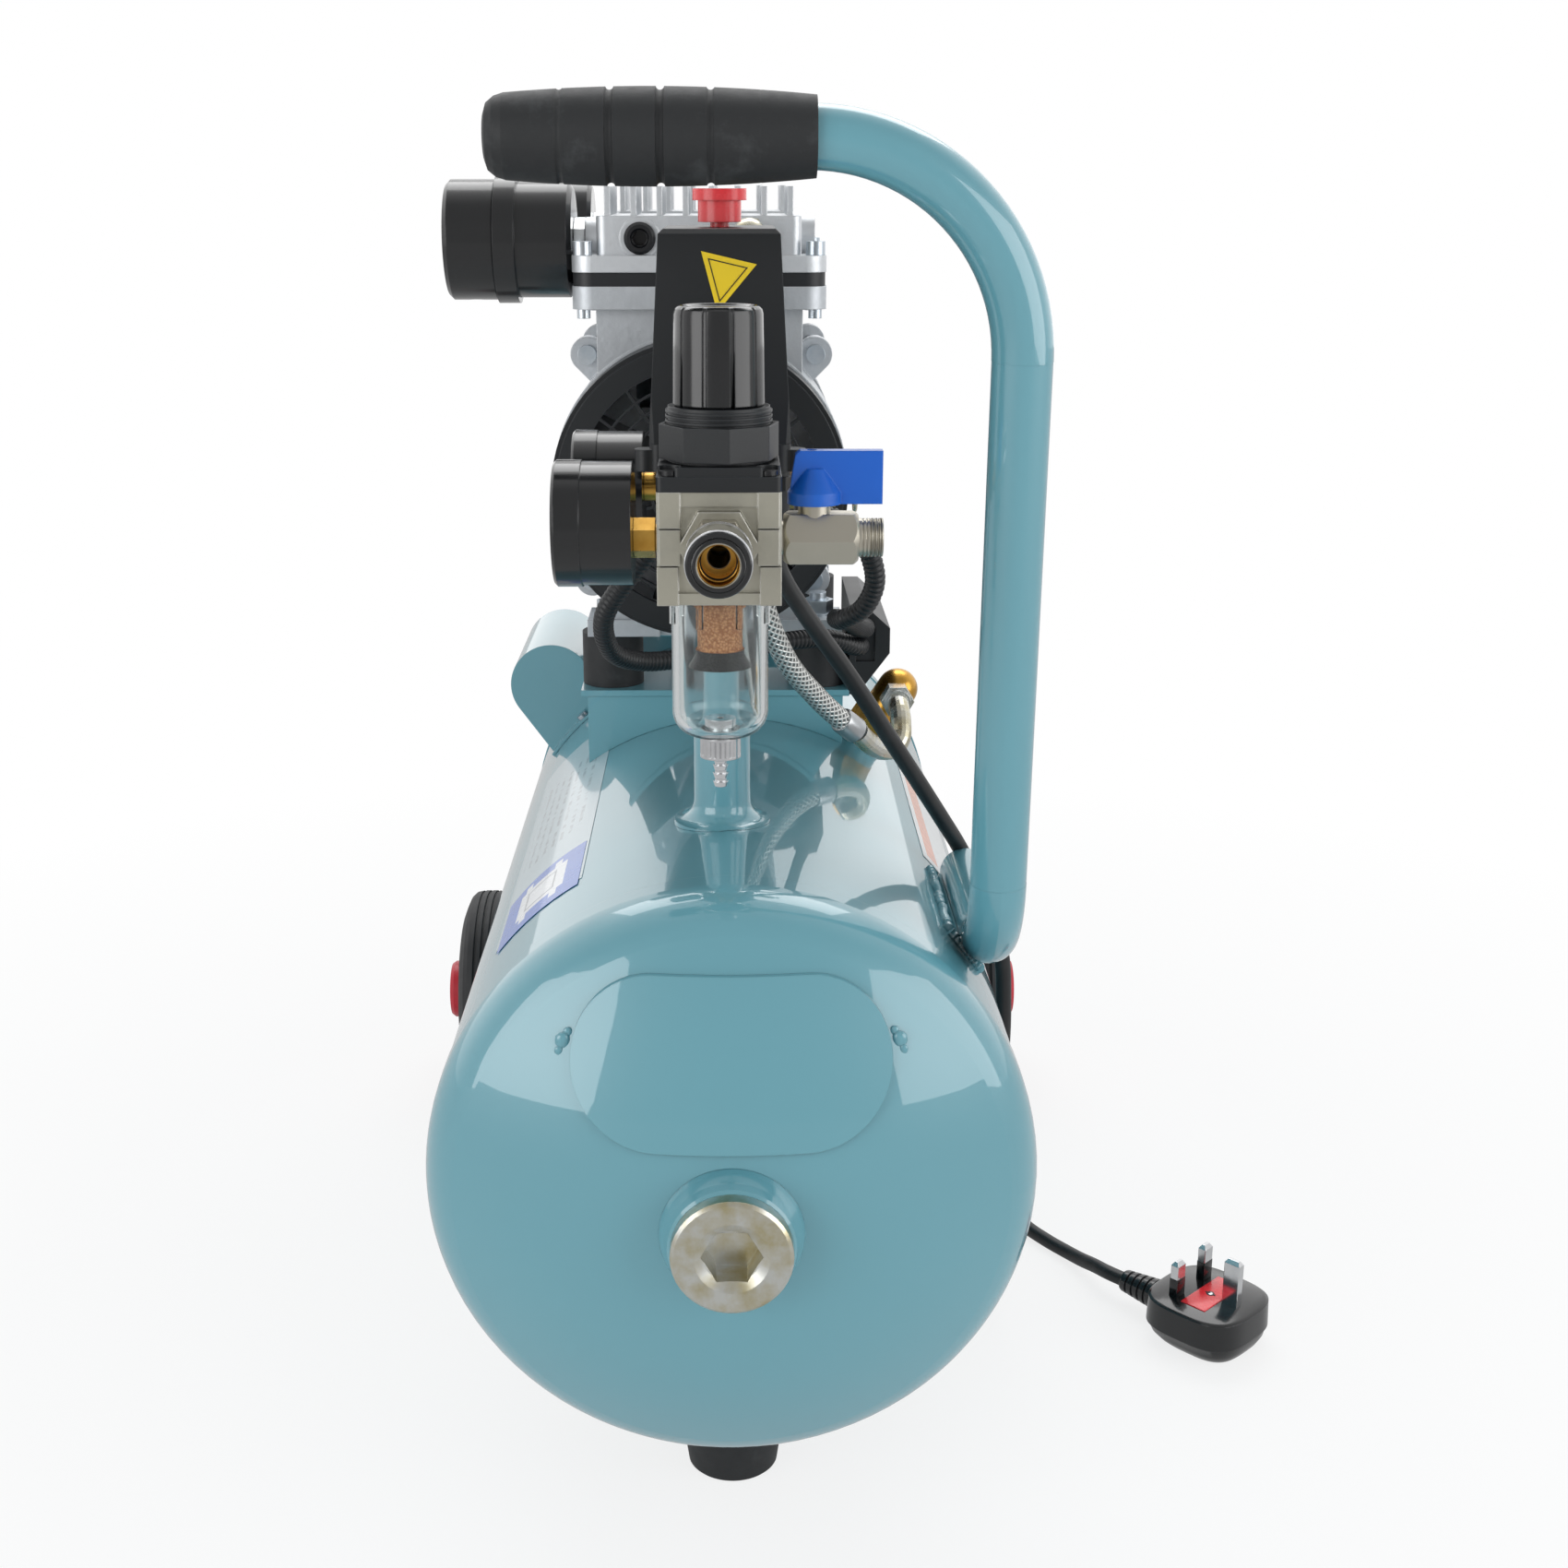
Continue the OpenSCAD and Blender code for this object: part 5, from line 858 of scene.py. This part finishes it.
def film(name, from_y, to_y, low, high, material, radius=115.2):
    """A curved film on the tank between two angles from straight up, in degrees."""
    bm = bmesh.new()
    ends = [bm.verts.new((0, from_y + (to_y - from_y) * i / 12, TANK_Z + radius)) for i in range(13)]
    lines = [bm.edges.new(pair) for pair in zip(ends, ends[1:])]
    axis, middle = (0, 1, 0), (0, 0, TANK_Z)
    bmesh.ops.rotate(bm, cent=middle, matrix=Matrix.Rotation(math.radians(low), 3, axis), verts=ends)
    bmesh.ops.spin(bm, geom=ends + lines, cent=middle, axis=axis, angle=math.radians(high - low), steps=24)
    bmesh.ops.recalc_face_normals(bm, faces=bm.faces)
    bmesh.ops.solidify(bm, geom=bm.faces[:], thickness=0.12)
    bmesh.ops.recalc_face_normals(bm, faces=bm.faces)
    return piece(name, bm, material, sharp=50)


def inside(f, value, low, high, soft=0.0004):
    """1 between two limits, 0 outside."""
    over = f.ramp((value - low) / soft, [(0, 0.0), (1, 1.0)])
    under = f.ramp((high - value) / soft, [(0, 0.0), (1, 1.0)])
    return over * under


def arc_lengths(f):
    """Length along the tank and length round it, measured from straight up, in metres."""
    x, y, z = f.axes()
    angle = f.node("ShaderNodeMath", {"operation": "ARCTAN2"}, {0: x, 1: z - TANK_Z * MM})
    return y, angle * 0.115


def instruction_film():
    f = Finish("instruction_film", "BFD0D6", 0.22, Coat_Weight=0.6, Coat_Roughness=0.05)
    y, around = arc_lengths(f)
    rows = (around * 1250).wave()
    words = f.noise(130, 2, 0.6, f.stretched(1, 1.6, 0.2))
    printed = f.ramp(rows, [(0.3, 0.0), (0.5, 1.0)]) * f.ramp(words, [(0.46, 0.0), (0.52, 1.0)])
    text = printed * inside(f, y, -0.102, 0.02) * inside(f, around, -0.104, -0.067)
    base = f.blend(text * 0.55, "BFD0D6", "7E8387")
    border = inside(f, y, -0.1785, -0.1765) + inside(f, around, -0.1078, -0.1070)
    f.feed("Base Color", f.blend(border * 0.6, base, "8CA6AE"))
    f.feed("Roughness", 0.2 + f.noise(60, 3) * 0.1)
    return f.material


def picture_film():
    f = Finish("picture_film", "5D7FD0", 0.25, Coat_Weight=0.5, Coat_Roughness=0.05)
    y, around = arc_lengths(f)
    board = inside(f, y, -0.172, -0.142) * inside(f, around, -0.097, -0.071)
    legs = inside(f, y, -0.178, -0.136) * (inside(f, around, -0.0945, -0.0905)
                                           + inside(f, around, -0.078, -0.074))
    shape = f.ramp(board + legs, [(0, 0.0), (0.5, 1.0)])
    frame_line = inside(f, y, -0.168, -0.146) * inside(f, around, -0.0925, -0.0760) \
        - inside(f, y, -0.1665, -0.1475) * inside(f, around, -0.0915, -0.0770)
    base = f.blend(shape, "5D7FD0", "F3F5F7")
    f.feed("Base Color", f.blend(frame_line * 0.8, base, "8B8F94"))
    f.feed("Roughness", 0.22 + f.noise(60, 3) * 0.1)
    return f.material


def striped_film():
    f = Finish("striped_film", "EEF1F2", 0.22, Coat_Weight=0.6, Coat_Roughness=0.05)
    y, around = arc_lengths(f)
    panel = inside(f, around, 0.0965, 0.1045) * inside(f, y, -0.088, 0.1)
    rows = (y * 700).wave()
    text = panel * f.ramp(rows, [(0.85, 0.0), (0.95, 1.0)]) * 0.35
    base = f.blend(panel, "EEF1F2", "F0A98E")
    f.feed("Base Color", f.blend(text, base, "C07A60"))
    f.feed("Roughness", 0.2 + f.noise(60, 3) * 0.1)
    return f.material


film("left_film", -180, 60, -54.2, -30.5, instruction_film())
film("left_picture", -186, -132, -53, -31.2, picture_film(), 115.35)
film("right_film", -96, 120, 46.5, 62, striped_film())

# %% [markdown]
# A yellow inspection triangle is stuck on the front of the switch cover. It is a thin plate on the leaning
# face, with a black line inset from its edge, and it stays blank inside.

# %% Triangle on the switch cover
def triangle_film():
    f = Finish("yellow_film", "F4D21C", 0.3, Coat_Weight=0.4)
    f.feed("Base Color", f.blend(f.noise(90, 2) * 0.3, "F4D21C", "E9C40F"))
    f.feed("Roughness", 0.28 + f.noise(200, 2) * 0.1)
    return f.material


def ink():
    f = Finish("black_ink", "15140F", 0.4)
    f.feed("Base Color", f.blend(f.noise(300, 2) * 0.3, "15140F", "2B2A22"))
    f.feed("Roughness", 0.35 + f.noise(200, 2) * 0.1)
    return f.material


CORNERS = [(-10.0, 492.3), (9.9, 487.7), (-4.3, 471.0)]
LEAN = math.degrees(math.atan2(4, 74.2))
YELLOW, INK = triangle_film(), ink()


def on_cover(bm, proud):
    """Lays a plate made at height 0 on the cover's leaning front."""
    face_y = -185 + 4 * (480 - 424) / 74.2
    return moved(moved(bm, (0, -proud, -480)), (0, face_y, 480), (-LEAN, 0, 0))


piece("yellow_triangle", on_cover(plate(CORNERS, 0.2), 0.25), YELLOW)
middle = [sum(c[i] for c in CORNERS) / 3 for i in range(2)]
shrunk = [[(m + (c - m) * share) for c, m in zip(corner, middle)]
          for share in (0.72, 0.66) for corner in CORNERS]
bm = bmesh.new()
outer = [bm.verts.new((x, 0, z)) for x, z in shrunk[:3]]
inner = [bm.verts.new((x, 0, z)) for x, z in shrunk[3:]]
rings = [bm.edges.new((ring[i], ring[(i + 1) % 3])) for ring in (outer, inner) for i in range(3)]
bmesh.ops.bridge_loops(bm, edges=rings)
bmesh.ops.solidify(bm, geom=bm.faces[:], thickness=0.06)
bmesh.ops.recalc_face_normals(bm, faces=bm.faces)
piece("triangle_line", on_cover(bm, 0.36), INK)
print("triangle corners:", CORNERS)

# %% [markdown]
# The coupler's mouth is a brass socket with two ring grooves, and a black plastic ring closes the gap
# between the socket and the sleeve. The part of that ring that sits on the sleeve slides with it.

# %% Coupler mouth
def facing_front(bm, x, z, y):
    """Turns a piece made about Z so that its top faces -Y, with its zero at y."""
    return moved(bm, (x, y, z), (90, 0, 0))


REG_X, PORT_Z = -3.5, 399.5
liner = turned([(6.75, -0.6), (6.75, -15.8), (3.9, -15.8), (3.9, -15.2), (6.0, -15.2), (6.2, -11),
                (6.55, -11), (6.55, -9.6), (6.15, -9.4), (6.15, -7), (6.5, -6.8), (6.5, -5.2), (6.2, -5),
                (6.35, -1), (6.6, -0.6)])
piece("coupler_liner", facing_front(liner, REG_X, PORT_Z, -295), BRASS)
seal = turned([(6.2, -8.9), (5.7, -8.3), (6.2, -7.6), (6.5, -7.6), (6.5, -8.9)])
piece("coupler_seal", facing_front(seal, REG_X, PORT_Z, -295), RUBBER)
nose = turned([(7.25, -0.1), (7.25, 0.15), (7.5, 0.35), (8.35, 0.35), (8.6, 0.2), (8.6, -0.1)])
piece("coupler_nose_ring", facing_front(nose, REG_X, PORT_Z, -295), GLOSS)
rim = turned([(8.75, -0.1), (8.75, 1.2), (8.9, 1.35), (10.3, 1.35), (10.7, 1.0), (10.75, -0.1)])
piece("coupler_sleeve_ring", facing_front(rim, REG_X, PORT_Z, -293.5), GLOSS, body="coupler_ring")
print("coupler mouth at", (REG_X, -295, PORT_Z))

# %% [markdown]
# The regulator's knob is moulded with ten broad pads, a fine groove between them, and long slots in its
# lower half. A circle with many corners is extruded upwards level by level, and the corners that lie in a
# groove are pulled in.

# %% Regulator knob
KNOB_Z, KNOB_H, KNOB_R = 444.5, 32.5, 15.4
GROOVES = 10


def groove_depth(angle, height):
    """How far the skin is pulled in at an angle, in millimetres."""
    turn = angle / (2 * math.pi / GROOVES)
    off = abs(turn - round(turn)) * 2 * math.pi * KNOB_R / GROOVES
    if off > 0.55:
        return 0.0
    slot_here = round(turn) % 2 == 0 and height < KNOB_H * 0.55
    return 2.2 if slot_here else 0.55


def knob_skin():
    bm = bmesh.new()
    count = 240
    ring = bmesh.ops.create_circle(bm, cap_ends=False, radius=1, segments=count)["verts"]
    levels = [(0, 15.1), (0.5, 15.4), (KNOB_H * 0.55, 15.15), (KNOB_H * 0.555, 15.15), (KNOB_H - 2.6, 14.9),
              (KNOB_H - 1.2, 14.5), (KNOB_H - 0.3, 13.6), (KNOB_H, 12.8)]
    edges = bm.edges[:]
    bottom = edges
    for number, (height, radius) in enumerate(levels):
        if number:
            ring, edges = next_ring(bm, edges)
        for vert in ring:
            angle = math.atan2(vert.co.y, vert.co.x)
            pull = groove_depth(angle, height) if height < KNOB_H - 1 else 0.0
            vert.co = ((radius - pull) * math.cos(angle), (radius - pull) * math.sin(angle), height)
    top = bmesh.ops.contextual_create(bm, geom=edges)["faces"]
    bmesh.ops.inset_region(bm, faces=top, thickness=1.2)
    bmesh.ops.translate(bm, vec=(0, 0, -0.9), verts=list({v for f in top for v in f.verts}))
    bmesh.ops.contextual_create(bm, geom=bottom)
    bmesh.ops.recalc_face_normals(bm, faces=bm.faces)
    return bm


knob = piece("regulator_cap_knob", moved(knob_skin(), (REG_X, -242, KNOB_Z)), GLOSS, body="regulator_cap",
             sharp=25, replaces=("regulator_knob",))
print("knob faces:", len(knob.data.polygons))

# %% [markdown]
# Weld beads join the handle to the tank. A bead is a thin tube whose radius swells and shrinks with every
# little puddle of metal, half sunk between the two pieces that it joins.

# %% Weld beads
def bead(points, radius, puddle=2.2, swell=0.35):
    stations = smooth_route(points, 0.55)
    radii = [radius * (1 + swell * 0.5 * math.sin(i * 0.55 * 2 * math.pi / puddle)
                       + swell * 0.4 * math.sin(i * 0.37 + 2 * math.sin(i * 0.11)))
             for i in range(len(stations))]
    radii[0] = radii[-1] = radius * 0.3
    return swept(stations, radii, 10)


def on_tank(angle, y, above=0.0):
    """A place on the tank's skin at an angle from straight up."""
    r = 115 + above
    return (r * math.sin(math.radians(angle)), y, TANK_Z + r * math.cos(math.radians(angle)))


inner_line = [on_tank(47.4 + 0.25 * math.sin(k * 1.7), -184 + k * 5.2, 0.8) for k in range(15)]
outer_line = [on_tank(57.6 + 0.25 * math.sin(k * 1.3), -184 + k * 5.2, 0.8) for k in range(15)]
seams = added(bead(inner_line, 1.9), bead(outer_line, 1.9))
front_arc = [on_tank(47.4 + 10.2 * k / 8, -185.5 - 1.4 * math.sin(math.pi * k / 8), 0.8) for k in range(9)]
added(seams, bead(front_arc, 2.1))
piece("handle_welds_beads", seams, TEAL, sharp=60)
tacks = bmesh.new()
for side in (-1, 1):
    for x, z, wide in ((60.0, 223, 1.0), (58.2, 226, 0.6), (61.5, 219.5, 0.55)):
        crown = 201.5
        depth = math.sqrt(crown ** 2 - x ** 2 - (z - TANK_Z) ** 2)
        lump = bmesh.new()
        bmesh.ops.create_icosphere(lump, subdivisions=2, radius=1)
        added(tacks, moved(lump, (side * x, -(285.0 - crown) - depth, z), (0, 0, 0),
                           (3.0 * wide, 1.5 * wide, 3.4 * wide)))
piece("plate_tacks", tacks, TEAL, sharp=60)
print("beads made")

# %% [markdown]
# The picture has a white room: two big soft lamps high on both sides, which show as long pale windows in
# the glossy paint, a third one overhead, and an even, weaker light from everywhere. The floor is white to
# the camera but still takes the soft shadow under the foot and the wheels.

# %% Floor, lamps and world
MIRRORED_FLOOR = 0.6


def white_floor():
    f = Finish("white_floor", "F2F2F2", 0.8)
    path = f.tree.nodes.new("ShaderNodeLightPath")
    camera_ray, glossy_ray = [Wire(f, path.outputs[name]) for name in ("Is Camera Ray", "Is Glossy Ray")]
    away = f.node("ShaderNodeVectorMath", {"operation": "DISTANCE"}, {0: f.place, 1: (0, 0, 0)}, out="Value")
    share = 0.8 + f.ramp(away - 0.35, [(0, 0.0), (0.5, 1.0)]) * 0.2
    glow, mix = [f.tree.nodes.new("ShaderNode" + kind) for kind in ("Emission", "MixShader")]
    for source, target in (((camera_ray + glossy_ray * MIRRORED_FLOOR).socket, glow.inputs["Strength"]),
                           ((camera_ray.top(glossy_ray) * share).socket, mix.inputs[0]),
                           (f.shader.outputs[0], mix.inputs[1]), (glow.outputs[0], mix.inputs[2]),
                           (mix.outputs[0], f.tree.nodes["Material Output"].inputs[0])):
        f.tree.links.new(source, target)
    return f.material


bm = bmesh.new()
bmesh.ops.create_grid(bm, x_segments=1, y_segments=1, size=6)
floor_mesh = bpy.data.meshes.new("floor")
bm.to_mesh(floor_mesh)
bm.free()
floor_mesh.materials.append(white_floor())
floor = bpy.data.objects.new("floor", floor_mesh)
bpy.context.scene.collection.objects.link(floor)


def softbox(name, place, target, width, height, power):
    data = bpy.data.lights.new(name, "AREA")
    data.shape = "RECTANGLE"
    data.size, data.size_y = width, height
    data.energy = power
    lamp = bpy.data.objects.new(name, data)
    lamp.location = place
    lamp.rotation_euler = (Vector(target) - Vector(place)).to_track_quat("-Z", "Y").to_euler()
    bpy.context.scene.collection.objects.link(lamp)


softbox("left_window", (-1.5, -1.45, 0.75), (-0.08, -0.25, 0.22), 1.5, 1.3, 17)
softbox("right_window", (1.65, -1.1, 0.75), (0.08, -0.25, 0.22), 1.7, 1.3, 17)
softbox("ceiling", (0, 1.2, 2.1), (0, 0, 0.3), 2.4, 1.2, 24)

world = bpy.data.worlds.new("white_room")
bpy.context.scene.world = world
world.use_nodes = True
nodes, links = world.node_tree.nodes, world.node_tree.links


def room_node(kind, settings=None, inputs=None):
    made = nodes.new(kind)
    for label, value in (settings or {}).items():
        setattr(made, label, value)
    for label, value in (inputs or {}).items():
        if isinstance(value, bpy.types.NodeSocket):
            links.new(value, made.inputs[label])
        else:
            made.inputs[label].default_value = value
    return made


even = nodes["Background"]
even.inputs["Color"].default_value = tint("EDF2F5")
even.inputs["Strength"].default_value = 0.5
generated = nodes.new("ShaderNodeTexCoord").outputs["Generated"]
direction = room_node("ShaderNodeSeparateXYZ", None, {0: generated})
depth = room_node("ShaderNodeMapRange", None, {0: direction.outputs["Y"], 1: -0.3, 2: 0.4, 3: 0.5, 4: 1.25})
mirrored = room_node("ShaderNodeBackground", None, {"Color": (1, 1, 1, 1), "Strength": depth.outputs[0]})
backdrop = room_node("ShaderNodeBackground", None, {"Color": (1, 1, 1, 1), "Strength": 1.0})
seen = nodes.new("ShaderNodeLightPath")
gloss = room_node("ShaderNodeMixShader", None, {0: seen.outputs["Is Glossy Ray"], 1: even.outputs[0],
                  2: mirrored.outputs[0]})
either = room_node("ShaderNodeMath", {"operation": "MAXIMUM"}, {0: seen.outputs["Is Camera Ray"],
                   1: seen.outputs["Is Transmission Ray"]})
choose = room_node("ShaderNodeMixShader", None, {0: either.outputs[0], 1: gloss.outputs[0],
                   2: backdrop.outputs[0]})
links.new(choose.outputs[0], nodes["World Output"].inputs[0])
bpy.context.scene.view_settings.view_transform = "Standard"

# %% [markdown]
